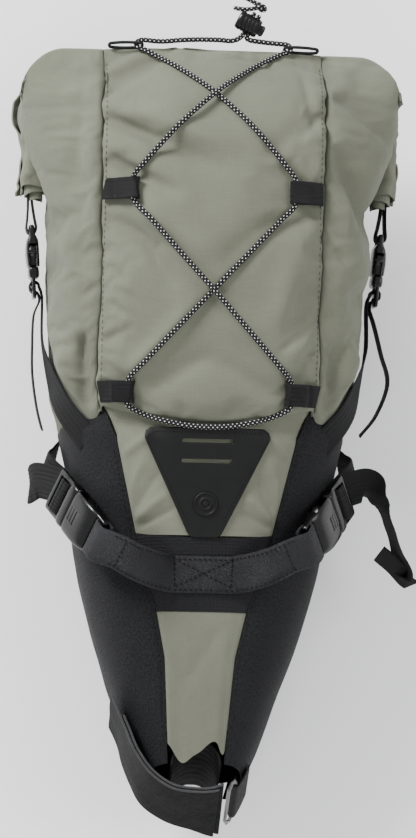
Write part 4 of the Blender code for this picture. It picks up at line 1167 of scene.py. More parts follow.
def make_holster():
    made = {}
    made["upper"] = holster_part(
        "holster_upper_panel", lambda v: (-0.1175, HOLSTER_TOP), seam_angles, SAGE, 70, 90, True,
        ["holster_upper_centre_panel"], crown=0.0006,
    )
    made["band"] = holster_part(
        "reinforcement_band",
        lambda v: (-0.1695, -0.1165 - 0.0022 * (1 - (2 * v - 1) ** 2)),
        seam_angles, RIPSTOP, 44, 60, False,
        ["strap_reinforcement_panel"], lift=0.0007,
    )
    made["lower"] = holster_part(
        "holster_lower_panel",
        lambda v: (
            -0.2560 - 0.0170 * math.exp(-(((v - 0.34) / 0.24) ** 2)) - 0.0100 * math.exp(-(((v - 0.93) / 0.12) ** 2)),
            -0.1682,
        ),
        seam_angles, SAGE, 70, 44, True,
        ["holster_lower_centre_panel"], crown=0.0004,
    )
    for sign, label in ((1, "right"), (-1, "left")):

        def span(y, sign=sign):
            top = angle_at(y, seam_x(y) + 0.0002)
            bottom = -UNDERSIDE_ANGLE - 0.02
            if sign > 0:
                return top, bottom
            return math.pi - bottom, math.pi - top

        def y_span(across, sign=sign):
            down = across if sign > 0 else 1 - across
            return -0.2722, -0.0260 - 0.018 * min(down / 0.35, 1.0)

        made[label] = holster_part(
            f"holster_side_{label}", y_span, span, TWILL, 120, 60, False,
            [f"holster_side_panel_{label}"], lift=0.0004, crown=0.0010,
        )
    grid = []
    for r in range(121):
        y = -0.2572 + (0.2160 + 0.2572) * r / 120
        line = []
        for c in range(61):
            angle = -UNDERSIDE_ANGLE + 0.01 + (-math.pi + 2 * UNDERSIDE_ANGLE - 0.02) * c / 60
            flat = skin(y, angle, -0.0002)
            ripple = 0.0008 * wave_noise(flat.x, flat.y, flat.z, 24.0, 6.0) * smooth_step(0.004, 0.03,
                flat.z)
            line.append(skin(y, angle, -0.0002 + ripple))
        grid.append(line)
    under = sheet_object("underside_fabric", grid, TWILL)
    thicken(under, 0.0012, 0)
    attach(under, "bag")
    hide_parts("underside_panel")
    made["under"] = under
    return made


sack = make_sack()
holster = make_holster()

# ---------------------------------------------------------------- roll closure

ROLL_Z, ROLL_X, ROLL_Y, ROLL_CORNER, ROLL_LEG_END_Y = 0.0965, 0.1204, 0.2075, 0.024, 0.1205
ROLL_HALF_HEIGHT, ROLL_HALF_THICKNESS, ROLL_TURNS = 0.017, 0.0102, 3.0


def roll_path():
    path = [Vector((-ROLL_X, ROLL_LEG_END_Y, ROLL_Z)), Vector((-ROLL_X, 0.150, ROLL_Z))]
    for k in range(7):
        angle = math.pi - k * math.pi / 12
        path.append(
            Vector(
                (
                    -ROLL_X + ROLL_CORNER + ROLL_CORNER * math.cos(angle),
                    ROLL_Y - ROLL_CORNER + ROLL_CORNER * math.sin(angle),
                    ROLL_Z,
                )
            )
        )
    path.append(Vector((-0.045, ROLL_Y, ROLL_Z)))
    path = path + [Vector((-p.x, p.y, p.z)) for p in reversed(path)]
    return evenly(smooth_path(path, 4), 0.0020)[0]


def roll_spiral(steps):
    """(out, up, wall) of a flattened spiral of fabric, from its core to its outside."""
    straight = ROLL_HALF_HEIGHT - ROLL_HALF_THICKNESS
    core, outer = 0.0040, ROLL_HALF_THICKNESS
    found = []
    halves = int(2 * ROLL_TURNS)
    for h in range(halves):
        for k in range(steps + 1):
            turn = h + k / steps
            radius = core + (outer - core) * turn / halves
            angle = math.pi * turn
            centre = straight if h % 2 == 0 else -straight
            found.append((radius * math.cos(angle), centre + radius * math.sin(angle), turn / halves))
    return found


def make_roll():
    path = roll_path()
    along = distances(path)
    course = roll_spiral(10)
    wall = 0.0013
    count = len(course)
    points, faces, uvs = [], [], []
    total = along[-1]
    for i, point in enumerate(path):
        tangent = (path[min(i + 1, len(path) - 1)] - path[max(i - 1, 0)]).normalized()
        outward = Vector((-tangent.y, tangent.x, 0))
        reach = min(along[i], total - along[i])
        ends = math.exp(-((reach / 0.020) ** 2))
        leg = smooth_step(0.110, 0.060, reach)
        way = tangent if along[i] > total / 2 else -tangent
        for side in (0, 1):
            for k in range(count):
                u, w, share = course[k] if side == 0 else course[count - 1 - k]
                turn = math.atan2(w, u)
                bump = 0.0046 * share * wave_noise(along[i], u * 2, w * 2, 36.0, 2.0)
                bump += 0.0030 * share * wave_noise(along[i], u * 2, w * 3, 80.0, 7.0)
                round_x, round_y = math.cos(turn) * 0.02, math.sin(turn) * 0.02
                pucker = wave_noise(along[i] * 0.25, round_x, round_y, 70.0, 4.0)
                bump -= 0.0034 * share * leg * abs(pucker) * 2
                bump += 0.0030 * share * leg
                fold = wave_noise(along[i], math.cos(turn) * 0.030, math.sin(turn) * 0.030, 34.0, 11.0)
                bump -= 0.0026 * share * max(0.0, 1 - abs(fold) / 0.09)
                grow = 1.0 + 0.05 * share + bump / max(math.hypot(u, w), 0.005)
                spot = Vector((u * grow, w * grow))
                spot.x += 0.0030 * leg * (1 if u < 0 else 0.3) * share * (-1 if u < 0 else 1)
                shift = ends * (0.0100 * (0.75 - share) + 0.0045 * math.sin(2.0 * turn + 3 * share) * share)
                direction = spot.normalized()
                if side:
                    spot = spot - direction * wall
                base = point + way * shift
                points.append(base + outward * spot.x + Vector((0, 0, spot.y)))
    ring = 2 * count
    for i in range(len(path) - 1):
        for s in range(ring):
            t = (s + 1) % ring
            faces.append((i * ring + s, i * ring + t, (i + 1) * ring + t, (i + 1) * ring + s))
            u0, u1 = s * 0.0022, (s + 1) * 0.0022
            uvs.append(((u0, along[i]), (u1, along[i]), (u1, along[i + 1]), (u0, along[i + 1])))
    for base in (0, (len(path) - 1) * ring):
        for k in range(count - 1):
            faces.append((base + k, base + k + 1, base + ring - 2 - k, base + ring - 1 - k))
            uvs.append([(0, 0), (0.002, 0), (0.002, 0.0013), (0, 0.0013)])
    roll = mesh_object("roll_top", points, faces, SAGE, uvs, 70.0)
    fix_normals(roll)
    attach(roll, "bag")
    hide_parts("rolled_mouth")
    return roll


roll = make_roll()

# ---------------------------------------------------------------- elastic cord and its holders

CORD_RADIUS = 0.00175
LOOP_EYE_X, LOOP_WEBBING, LOOP_THICKNESS = 0.055, 0.0155, 0.0013
MID_LOOP_Y, LOW_LOOP_Y = 0.115, -0.022
TIE_X, TIE_Y, TIE_Z = 0.052, 0.2195, 0.1335
UPPER_BOW = 0.0090
STRAND_END_X, STRAND_END_Y = 0.0450, 0.2145
EYE_LIFT = 0.0042
# The loop's webbing under and over the eye: x and height over the sack.
LOOP_UNDER = ((0.0746, -0.0004), (0.0712, 0.0009), (0.0675, 0.0010), (0.0640, 0.0011))
LOOP_OVER = ((0.0645, 0.0040), (0.0680, 0.0028), (0.0714, 0.0025), (0.0746, 0.0010))
LOCK_LENGTH, LOCK_CORD_PITCH = 0.0135, 0.0019
LOCK_AT = (0.0225, 0.2295, 0.1330)

sack_tree = surface_tree(*sack)


def rest_on(x, y, lift):
    """The point above x and y, lifted off the sack's finished surface."""
    hit = sack_tree.ray_cast(Vector((x, y, 0.3)), Vector((0, 0, -1)))[0]
    level = hit.z if hit is not None else on_top(x, y).z
    return Vector((x, y, max(level, on_top(x, y).z - 0.002) + lift))


def lock_frame():
    """The cord lock's frame: x along its two cords, away from the bag, and y out through its button."""
    along = Vector((0.45, 0.86, 0.24)).normalized()
    button = Vector((0.89, -0.46, 0.0)).normalized()
    up = along.cross(button).normalized()
    button = up.cross(along)
    return axes_matrix((along, button, up), LOCK_AT)


def strand(start, end, bow=0.0, over_at=None):
    """A taut cord between two points on the sack: it bridges hollows and passes over another cord."""
    count = 40
    spots, floor = [], []
    for k in range(count + 1):
        share = k / count
        x = start[0] + (end[0] - start[0]) * share
        y = start[1] + (end[1] - start[1]) * share + bow * 4 * share * (1 - share)
        level = rest_on(x, y, CORD_RADIUS + 0.0002).z
        if over_at is not None:
            reach = (Vector((x, y)) - Vector(over_at)).length
            level += 0.0036 * (1 - smooth_step(0.001, 0.010, reach))
        spots.append([x, y, level])
        floor.append(level)
    for _ in range(60):
        for k in range(1, count):
            spots[k][2] = max(floor[k], (spots[k - 1][2] + spots[k + 1][2]) / 2)
    return [Vector(s) for s in spots[3:-2:3]]


def cord_route():
    lock = lock_frame()
    knot_end = LOCK_LENGTH + 0.0025
    first = [lock @ Vector((x, -LOCK_CORD_PITCH, 0)) for x in (knot_end, LOCK_LENGTH / 2, -0.0025)]
    last = [lock @ Vector((x, LOCK_CORD_PITCH, 0)) for x in (-0.0025, LOCK_LENGTH / 2, knot_end)]

    def rear(x):
        return Vector((x, 0.2245 - 1.6 * x * x, 0.1350 - 1.2 * x * x))

    def through(sign, y, way):
        reach = LOOP_WEBBING / 2 + 0.0012
        return [rest_on(LOOP_EYE_X * sign, y + way * reach * k, EYE_LIFT) for k in (-1, 0, 1)]

    def tie(sign):
        turn = ((-4.5, 3.6), (-0.5, 3.0), (1.4, 0.3), (-0.8, -2.4), (-4.6, -3.6))
        found = []
        for along, behind in turn:
            x, y = TIE_X + along * 0.001, TIE_Y + behind * 0.001
            found.append(Vector((x * sign, y, TIE_Z + 0.0012 - 0.35 * behind * 0.001)))
        return found

    low_arc = [
        rest_on(x, -0.0445 + 4.0 * x * x, CORD_RADIUS + 0.0012)
        for x in (-0.042, -0.030, -0.018, -0.006, 0.006, 0.018, 0.030, 0.042)
    ]
    level = max(p.z for p in low_arc)
    low_arc = [Vector((p.x, p.y, max(p.z, level - 0.0035 - 4.0 * p.x * p.x))) for p in low_arc]
    edge = LOOP_WEBBING / 2 + 0.0012
    route = first + [rear(x) for x in (0.013, 0.003, -0.010, -0.022, -0.036)] + tie(-1)
    route += strand((-STRAND_END_X, STRAND_END_Y), (LOOP_EYE_X, MID_LOOP_Y + edge), UPPER_BOW)
    route += through(1, MID_LOOP_Y, -1)
    route += strand((LOOP_EYE_X, MID_LOOP_Y - edge), (-LOOP_EYE_X, LOW_LOOP_Y + edge))
    route += through(-1, LOW_LOOP_Y, -1)
    route += low_arc
    route += through(1, LOW_LOOP_Y, 1)
    route += strand((LOOP_EYE_X, LOW_LOOP_Y + edge), (-LOOP_EYE_X, MID_LOOP_Y - edge), 0.0, (0.0, 0.0465))
    route += through(-1, MID_LOOP_Y, 1)
    route += strand((-LOOP_EYE_X, MID_LOOP_Y + edge), (STRAND_END_X, STRAND_END_Y), UPPER_BOW, (0.0, 0.1826))
    return route + tie(1)[::-1] + [Vector((0.0345, 0.2240, 0.1335))] + last


def make_cord():
    cord = tube("bungee", smooth_path(cord_route(), 5), CORD_RADIUS, CORD, sides=16)
    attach(cord, "bag")
    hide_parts("elastic_cord")
    for sign, label in ((1, "right"), (-1, "left")):
        near = Vector((TIE_X * sign, TIE_Y, TIE_Z))
        far = Vector((0.0690 * sign, 0.2188, 0.1345))
        middle, reach = (near + far) / 2, (far - near) / 2
        rise = Vector((0, 0.35, 0.94)) * 0.0037
        points = []
        for k in range(28):
            angle = 2 * math.pi * k / 28
            share = math.copysign(min(1.0, abs(math.cos(angle)) * 1.3), math.cos(angle))
            points.append(middle + reach * share + reach.normalized() * 0.003 * math.cos(angle) + rise * math.sin(angle))
        points.append(points[0].copy())
        made = tube(f"tie_{label}", smooth_path(points, 3), 0.0011, THIN_CORD, sides=12, cyclic=True)
        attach(made, "bag")
        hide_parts(f"cord_tie_{label}")


def make_loops():
    eye = CORD_RADIUS + 0.0006 + LOOP_THICKNESS / 2
    for y, row in ((MID_LOOP_Y, "mid"), (LOW_LOOP_Y, "low")):
        for sign, label in ((1, "right"), (-1, "left")):
            at_eye = rest_on(LOOP_EYE_X * sign, y, EYE_LIFT)

            def clear(x, lift, sign=sign, y=y):
                spots = [rest_on(x * sign, y + k * LOOP_WEBBING / 4, lift) for k in (-2, -1, 0, 1, 2)]
                return Vector((x * sign, y, max(spot.z for spot in spots)))

            half_way = clear(0.0645, 0.0)
            ahead = rest_on(LOOP_EYE_X * sign, y + 0.009, 0.0)
            behind = rest_on(LOOP_EYE_X * sign, y - 0.009, 0.0)
            side = (ahead - behind).normalized()
            route = [clear(x, lift) for x, lift in LOOP_UNDER]
            for k in range(9):
                angle = -math.pi / 2 - k * math.pi / 8
                route.append(at_eye + Vector((math.cos(angle) * sign, 0, math.sin(angle))) * eye)
            route += [clear(x, lift) for x, lift in LOOP_OVER]
            path = smooth_path(route, 6)
            made = strap(f"loop_{row}_{label}", path, [side] * len(path), LOOP_WEBBING, LOOP_THICKNESS,
                         ribs=4, spacing=0.0007)
            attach(made, "bag")
            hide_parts(f"cord_loop_{row}_{label}")
            tree = surface_tree(made)
            course = [
                (half_way + Vector((0.0015 * sign, k * 0.0062, 0.012)), Vector((0, 0, -1))) for k in (-1, 1)
            ]
            stitches(f"loop_stitch_{row}_{label}", tree, course, DARK_THREAD, 0.0016, 0.0007, 0.00022)


# ---------------------------------------------------------------- moulded plastic


def loft_block(name, stations, place, scale, mat, exponent=5.0, sides=40):
    """A moulding lofted along x through (x, half y, low z, high z) sections with rounded corners."""
    points = []
    for x, half, low, high in stations:
        for s in range(sides):
            angle = 2 * math.pi * (s + 0.5) / sides
            y = half * power(math.cos(angle), 2 / exponent)
            z = (low + high) / 2 + (high - low) / 2 * power(math.sin(angle), 2 / exponent)
            points.append(place @ (Vector((x, y, z)) * 0.001 * scale))
    obj = mesh_object(name, points, ring_faces(len(stations), sides), mat, None, 35.0)
    fix_normals(obj)
    return obj


def carve(obj, cutters, place, scale, operation="DIFFERENCE"):
    """Cuts boxes, given as two corners in millimetres, or other objects out of a moulding."""
    for cutter in cutters:
        if isinstance(cutter, bpy.types.Object):
            tool = cutter
        else:
            (x0, y0, z0), (x1, y1, z1) = cutter
            corners = [(x, y, z) for x in (x0, x1) for y in (y0, y1) for z in (z0, z1)]
            points = [place @ (Vector(c) * 0.001 * scale) for c in corners]
            quads = ((0, 1, 3, 2), (4, 6, 7, 5), (0, 4, 5, 1), (2, 3, 7, 6), (0, 2, 6, 4), (1, 5, 7, 3))
            tool = mesh_object("cutter", points, quads, PLASTIC)
            fix_normals(tool)
        modify(obj, "BOOLEAN", operation=operation, solver="EXACT", object=tool)
        apply_modifiers(obj)
        bpy.data.objects.remove(tool, do_unlink=True)
    return obj


def soften(obj, width, segments=3, angle=32.0):
    modify(obj, "BEVEL", width=width, segments=segments, limit_method="ANGLE",
           angle_limit=math.radians(angle))
    apply_modifiers(obj)
    obj.data.shade_smooth()
    obj.data.set_sharp_from_angle(angle=math.radians(38))
    return obj


def buckle_frame(mouth, towards_female, outward):
    x = Vector(towards_female).normalized()
    z = Vector(outward)
    z = (z - z.dot(x) * x).normalized()
    y = z.cross(x)
    return axes_matrix((x, y, z), mouth)


PRONG_OUTLINE = (
    (0.0, 6.4), (0.0, 9.3), (3.5, 9.7), (6.4, 10.2), (8.7, 10.9), (8.8, 12.9), (9.3, 13.4), (10.6, 13.5),
    (12.4, 12.9), (14.4, 11.8), (16.2, 10.5), (17.3, 9.5), (17.5, 8.9), (17.1, 8.3), (14.0, 8.1),
    (9.0, 8.1), (5.0, 7.3),
)


def make_buckle(prefix, mouth, towards_female, outward, scale):
    """A side-release buckle: moulded halves with windows and ladder bars, and two curved prongs."""
    place = buckle_frame(mouth, towards_female, outward)
    female = loft_block(
        f"{prefix}_socket",
        (
            (0.0, 12.5, -3.9, 3.9), (0.25, 13.0, -4.2, 4.2), (0.9, 13.4, -4.45, 4.45),
            (3.0, 13.5, -4.5, 4.6),
            (8.0, 13.5, -4.5, 4.95), (13.0, 13.5, -4.5, 4.9), (16.0, 13.3, -4.4, 4.5),
            (18.5, 12.9, -4.2, 3.9),
            (20.5, 12.5, -3.4, 2.9), (22.0, 12.3, -2.6, 2.2), (26.0, 12.0, -2.3, 2.1),
            (28.0, 11.7, -2.0, 1.9),
            (28.7, 11.2, -1.6, 1.6), (29.0, 10.4, -1.0, 1.0),
        ),
        place, scale, PLASTIC,
    )
    carve(
        female,
        (
            ((-1, -11.7, -2.8), (19.0, 11.7, 2.8)),
            ((-2, -15, -2.795), (15.8, 15, 2.795)),
            ((21.6, -10.6, -6), (25.9, 10.6, 6)),
            ((2.6, -4.4, 4.45), (4.0, 4.4, 6)),
            ((5.2, -4.4, 4.55), (6.6, 4.4, 6)),
            ((7.8, -4.4, 4.6), (9.2, 4.4, 6)),
        ),
        place, scale,
    )
    soften(female, 0.00035 * scale, 2)
    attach(female, "bag")
    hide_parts(f"{prefix}_female")

    male = loft_block(
        f"{prefix}_plug",
        (
            (-8.0, 12.4, -2.6, 2.6), (-7.7, 13.0, -3.2, 3.2), (-6.8, 13.4, -3.6, 3.7),
            (-4.5, 13.5, -3.8, 4.0),
            (-2.0, 13.4, -3.7, 3.9), (-0.9, 13.1, -3.4, 3.6), (-0.3, 12.3, -2.9, 3.0),
        ),
        place, scale, PLASTIC,
    )
    ladder = loft_block(
        "ladder",
        (
            (-22.0, 11.8, -0.5, 1.3), (-21.6, 12.6, -0.8, 1.7), (-20.6, 13.2, -1.0, 2.0),
            (-14.0, 13.3, -1.0, 2.0),
            (-7.0, 13.4, -1.0, 2.0),
        ),
        place, scale, PLASTIC,
    )
    guide = loft_block(
        "guide", ((-2.0, 1.7, -2.2, 2.2), (13.8, 1.7, -2.2, 2.2), (14.8, 1.4, -1.8, 1.8),
                  (15.0, 0.9, -1.2, 1.2)),
        place, scale, PLASTIC,
    )
    carve(male, (ladder, guide), place, scale, "UNION")
    carve(male, (((-12.5, -10.6, -6), (-8.4, 10.6, 6)), ((-19.0, -10.6, -6), (-15.5, 10.6, 6))), place,
          scale)
    soften(male, 0.00035 * scale, 2)
    half = f"{prefix}_male_half"
    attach(male, half)
    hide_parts(f"{prefix}_male")

    for sign, side in ((1, "a"), (-1, "b")):
        outline = [(x, y * sign) for x, y in PRONG_OUTLINE]
        count = len(outline)
        points = [place @ (Vector((x, y, z)) * 0.001 * scale) for z in (-2.2, 2.2) for x, y in outline]
        faces = [tuple(range(count)), tuple(range(count, 2 * count))]
        faces += [(i, (i + 1) % count, count + (i + 1) % count, count + i) for i in range(count)]
        prong = mesh_object(f"{prefix}_latch_{side}", points, faces, PLASTIC)
        fix_normals(prong)
        soften(prong, 0.0004 * scale, 2, 40.0)
        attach(prong, f"{prefix}_prong_{side}_body")
        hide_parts(f"{prefix}_prong_{side}")
    return place


LADDER_IN = ((-24.0, -4.9), (-19.0, -4.7), (-16.5, -4.3), (-14.0, -3.3), (-11.8, -2.9), (-10.4, -1.2))
LADDER_OVER = ((-10.2, 1.0), (-11.5, 2.75), (-14.0, 3.2), (-16.3, 2.7), (-17.3, 0.9), (-17.5, -1.0))
LADDER_OUT = ((-19.2, -2.5), (-24.0, -2.8))
BAR_LOOP = ((33.0, 2.6), (27.5, 3.4), (24.2, 2.4), (23.3, 0.0), (24.2, -2.4), (27.5, -3.4), (33.0, -2.6))
RAIL_LOOP = ((33.0, 3.0), (27.5, 3.7), (24.0, 2.6), (23.1, 0.0), (24.0, -2.6), (27.5, -3.7), (32.0, -3.4))
LADDER_SPLIT = len(LADDER_IN) + 2
COMPRESSION_ANCHOR = ((0.0800, -0.054, 0.1270), (0.0975, -0.032, 0.1235), (0.1065, -0.010, 0.111),
                      (0.1125, 0.015, 0.0995))
COMPRESSION_TAIL_RIGHT = (
    (0.1188, 0.034, 0.092), (0.1244, 0.014, 0.089), (0.1300, -0.006, 0.084), (0.1230, -0.028, 0.079),
    (0.1120, -0.043, 0.0755),
)
COMPRESSION_TAIL_LEFT = (
    (0.1188, 0.034, 0.092), (0.1192, 0.014, 0.089), (0.1185, -0.006, 0.084), (0.1150, -0.028, 0.079),
    (0.1110, -0.043, 0.0755),
)
RAIL_ANCHOR = ((0.0998, -0.0600, 0.046), (0.1050, -0.0655, 0.062), (0.1088, -0.0710, 0.078))
RAIL_ARCH = ((0.033, -0.1415, 0.1394), (0.047, -0.1365, 0.1455), (0.060, -0.130, 0.1465))
RAIL_TAIL_RIGHT = (
    (0.1165, -0.078, 0.0835), (0.1265, -0.089, 0.079), (0.1345, -0.107, 0.074), (0.1415, -0.126, 0.069),
    (0.1475, -0.139, 0.066), (0.1462, -0.1405, 0.0645), (0.1370, -0.131, 0.063), (0.1285, -0.124, 0.062),
)
RAIL_TAIL_LEFT = (
    (-0.1125, -0.0792, 0.0800), (-0.1168, -0.0812, 0.0730), (-0.1178, -0.0828, 0.0680),
    (-0.1155, -0.0815, 0.0620),
    (-0.1100, -0.0760, 0.0560),
)
RAIL_STRAP_Y, RAIL_PAD_X, RAIL_STRAP_WIDTH, RAIL_STRAP_THICKNESS = -0.144, 0.021, 0.026, 0.0022
RAIL_PAD_ACROSS = (0.0, 0.976, 0.217)
GAP = 0.0004
LEATHER_STITCH = (0.0028, 0.0007, 0.00042)  # length, gap and radius


def mirrored(points, sign):
    return [Vector((p[0] * sign, p[1], p[2])) for p in points]


def local_route(place, scale, route):
    return [place @ (Vector((x, 0.0, z)) * 0.001 * scale) for x, z in route]


def threaded(names, nodes, route, split, widths, width, thickness, half, ribs):
    """One webbing through a ladder: its taut run, which bends to the bag, and its loose tail."""
    steps = 6
    path = smooth_path(route, steps)
    cut = split * steps
    taut, loose = path[: cut + 1], path[cut:]
    taut[-1] = taut[-1] + (taut[-2] - taut[-1]).normalized() * GAP
    at_anchor, in_ladder, at_end = widths
    run = strap(names[0], taut, width_vectors(taut, at_anchor, in_ladder, (0.0, 0.6)), width, thickness,
                ribs=ribs)
    tail = strap(names[1], loose, width_vectors(loose, in_ladder, at_end, (0.3, 1.0)), width, thickness,
                 ribs=ribs)
    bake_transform(run)
    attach(tail, half)
    for piece, node in ((run, nodes[0]), (tail, nodes[1])):
        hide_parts(node)
    return loose


def make_side_closures():
    for sign, label in ((1, "right"), (-1, "left")):
        prefix = f"roll_buckle_{label}"
        place = make_buckle(prefix, (0.1198 * sign, 0.068, 0.0945), (0.075 * sign, 1.0, 0.05),
                            (sign, -0.075, 0), 1.0)
        across = place.to_3x3() @ Vector((0, 1, 0))
        tab = ((52.0, 1.1), (42.0, 1.6)) + BAR_LOOP + ((42.0, -1.6), (52.0, -1.1))
        path = smooth_path(local_route(place, 1.0, tab), 5)
        made = strap(f"closure_tab_{label}", path, [across] * len(path), 0.020, 0.0014)
        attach(made, "bag")
        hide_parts(f"roll_tab_{label}")
        anchor = mirrored(COMPRESSION_ANCHOR, sign)
        tail = mirrored(COMPRESSION_TAIL_RIGHT if sign > 0 else COMPRESSION_TAIL_LEFT, sign)
        way = local_route(place, 1.0, LADDER_IN + LADDER_OVER + LADDER_OUT)
        at_anchor = Vector((-0.68 * sign, 0.49, 0.51)) * math.copysign(1, across.z)
        threaded(
            (f"side_strap_{label}", f"side_strap_tail_{label}"),
            (f"compression_strap_{label}", f"compression_tail_{label}"),
            anchor + way + tail, len(anchor) + LADDER_SPLIT, (at_anchor, across, across),
            0.020, 0.0014, f"{prefix}_male_half", 5,
        )


def strap_frames(path, widths):
    found = []
    for i, point in enumerate(path):
        tangent = (path[min(i + 1, len(path) - 1)] - path[max(i - 1, 0)]).normalized()
        side = Vector(widths[i])
        side = (side - side.dot(tangent) * tangent).normalized()
        found.append((point, side, side.cross(tangent).normalized()))
    return found


def make_rail_straps():
    halves = []
    for sign, label in ((1, "right"), (-1, "left")):
        prefix = f"rail_buckle_{label}"
        place = make_buckle(
            prefix, (0.0887 * sign, -0.1010, 0.1148), (-0.469 * sign, -0.605, 0.643),
            (0.807 * sign, 0.0, 0.59), 1.22
        )
        across = place.to_3x3() @ Vector((0, 1, 0))
        across = across * math.copysign(1, across.y)
        level = on_top(0, RAIL_STRAP_Y).z + 0.0011 + GAP
        over = [Vector((RAIL_PAD_X * sign, RAIL_STRAP_Y, level))] + mirrored(RAIL_ARCH, sign)
        path = smooth_path(over + local_route(place, 1.22, RAIL_LOOP), 6)
        halves.append((path, width_vectors(path, RAIL_PAD_ACROSS, across, (0.03, 0.5))))
        anchor = mirrored(RAIL_ANCHOR, sign)
        way = local_route(place, 1.22, LADDER_IN + LADDER_OVER + LADDER_OUT)
        tail = [Vector(p) for p in (RAIL_TAIL_RIGHT if sign > 0 else RAIL_TAIL_LEFT)]
        at_end = (0.05, 0.45, 0.9) if sign > 0 else (-0.12, 0.95, 0.25)
        threaded(
            (f"rail_belt_{label}", f"rail_belt_tail_{label}"),
            (f"rail_webbing_{label}", f"rail_webbing_tail_{label}"),
            anchor + way + tail, len(anchor) + LADDER_SPLIT, ((-0.1 * sign, 0.75, 0.6), across, at_end),
            0.025, 0.0017, f"{prefix}_male_half", 9,
        )
    (right, right_across), (left, left_across) = halves
    path, widths = left[::-1] + right, left_across[::-1] + right_across
    path, widths = evenly(path, 0.0012, (widths,))
    w, t = RAIL_STRAP_WIDTH / 2, RAIL_STRAP_THICKNESS / 2
    ring = [(x * w, t * (1.0 - 0.10 * x * x)) for x in (-0.955, -0.92, -0.86, -0.80, -0.5, 0.0, 0.5, 0.80,
                                                        0.86, 0.92, 0.955)]
    ring[2] = (ring[2][0], ring[2][1] - 0.00022)
    ring[-3] = (ring[-3][0], ring[-3][1] - 0.00022)
    ring += [(w * 0.99, 0.5 * t), (w, 0.0), (w * 0.99, -0.5 * t)]
    ring += [(x * w, -t) for x in (0.955, 0.5, 0.0, -0.5, -0.955)] + [(-w * 0.99, -0.5 * t), (-w, 0.0),
        (-w * 0.99, 0.5 * t)]
    made = swept("leather_strap", path, widths, ring, LEATHER)
    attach(made, "bag")
    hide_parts("rail_strap")
    tree = surface_tree(made)
    frames = [f for f in strap_frames(path, widths) if abs(f[0].x) < 0.064]
    upward = [(p, s, o if o.z > 0 else -o) for p, s, o in frames]
    for k, offset in enumerate((-0.0108, 0.0108)):
        course = [(p + s * offset + o * 0.004, -o) for p, s, o in upward]
        stitches(f"leather_edge_stitch_{k}", tree, course, DARK_THREAD, *LEATHER_STITCH)
    middle = Vector((0, RAIL_STRAP_Y, on_top(0, RAIL_STRAP_Y).z + 0.006))
    across = Vector(RAIL_PAD_ACROSS).normalized()
    corner = [middle + Vector((x, 0, 0)) + across * y for x,
              y in ((-0.0195, -0.0095), (0.0195, -0.0095), (0.0195, 0.0095), (-0.0195, 0.0095))]
    down = Vector((0, 0.217, -0.976))
    lines = [(0, 2), (1, 3), (0, 3), (1, 2)]
    for k, (a, b) in enumerate(lines):
        stitches(f"leather_box_stitch_{k}", tree, [(corner[a], down), (corner[b], down)], DARK_THREAD,
                 *LEATHER_STITCH)
    for sign, label in ((1, "right"), (-1, "left")):
        best = min(upward, key=lambda f: abs(f[0].x - 0.057 * sign))
        p, s, o = best
        course = [(p + s * y + o * 0.004, -o) for y in (-0.0105, 0.0105)]
        stitches(f"leather_cross_stitch_{label}", tree, course, DARK_THREAD, *LEATHER_STITCH)


# ---------------------------------------------------------------- light patch


def box_uv(obj):
    """Lays the weave map over a mesh from the axis that each face looks along."""
    layer = obj.data.uv_layers.get("weave") or obj.data.uv_layers.new(name="weave")
    verts = obj.data.vertices
    for face in obj.data.polygons:
        n = face.normal
        drop = max(range(3), key=lambda k: abs(n[k]))
        keep = [k for k in range(3) if k != drop]
        for loop in face.loop_indices:
            co = verts[obj.data.loops[loop].vertex_index].co
            layer.data[loop].uv = (co[keep[0]], co[keep[1]])


def from_node(name, node, mat, voxel, smooth=4):
    """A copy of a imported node's shape, remeshed and rounded."""
    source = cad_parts[node]
    obj = link(bpy.data.objects.new(name, source.data.copy()))
    obj.data.materials.clear()
    obj.data.materials.append(mat)
    modify(obj, "REMESH", mode="VOXEL", voxel_size=voxel)
    modify(obj, "SMOOTH", factor=0.5, iterations=smooth)
    apply_modifiers(obj)
    obj.data.shade_smooth()
    box_uv(obj)
    return obj


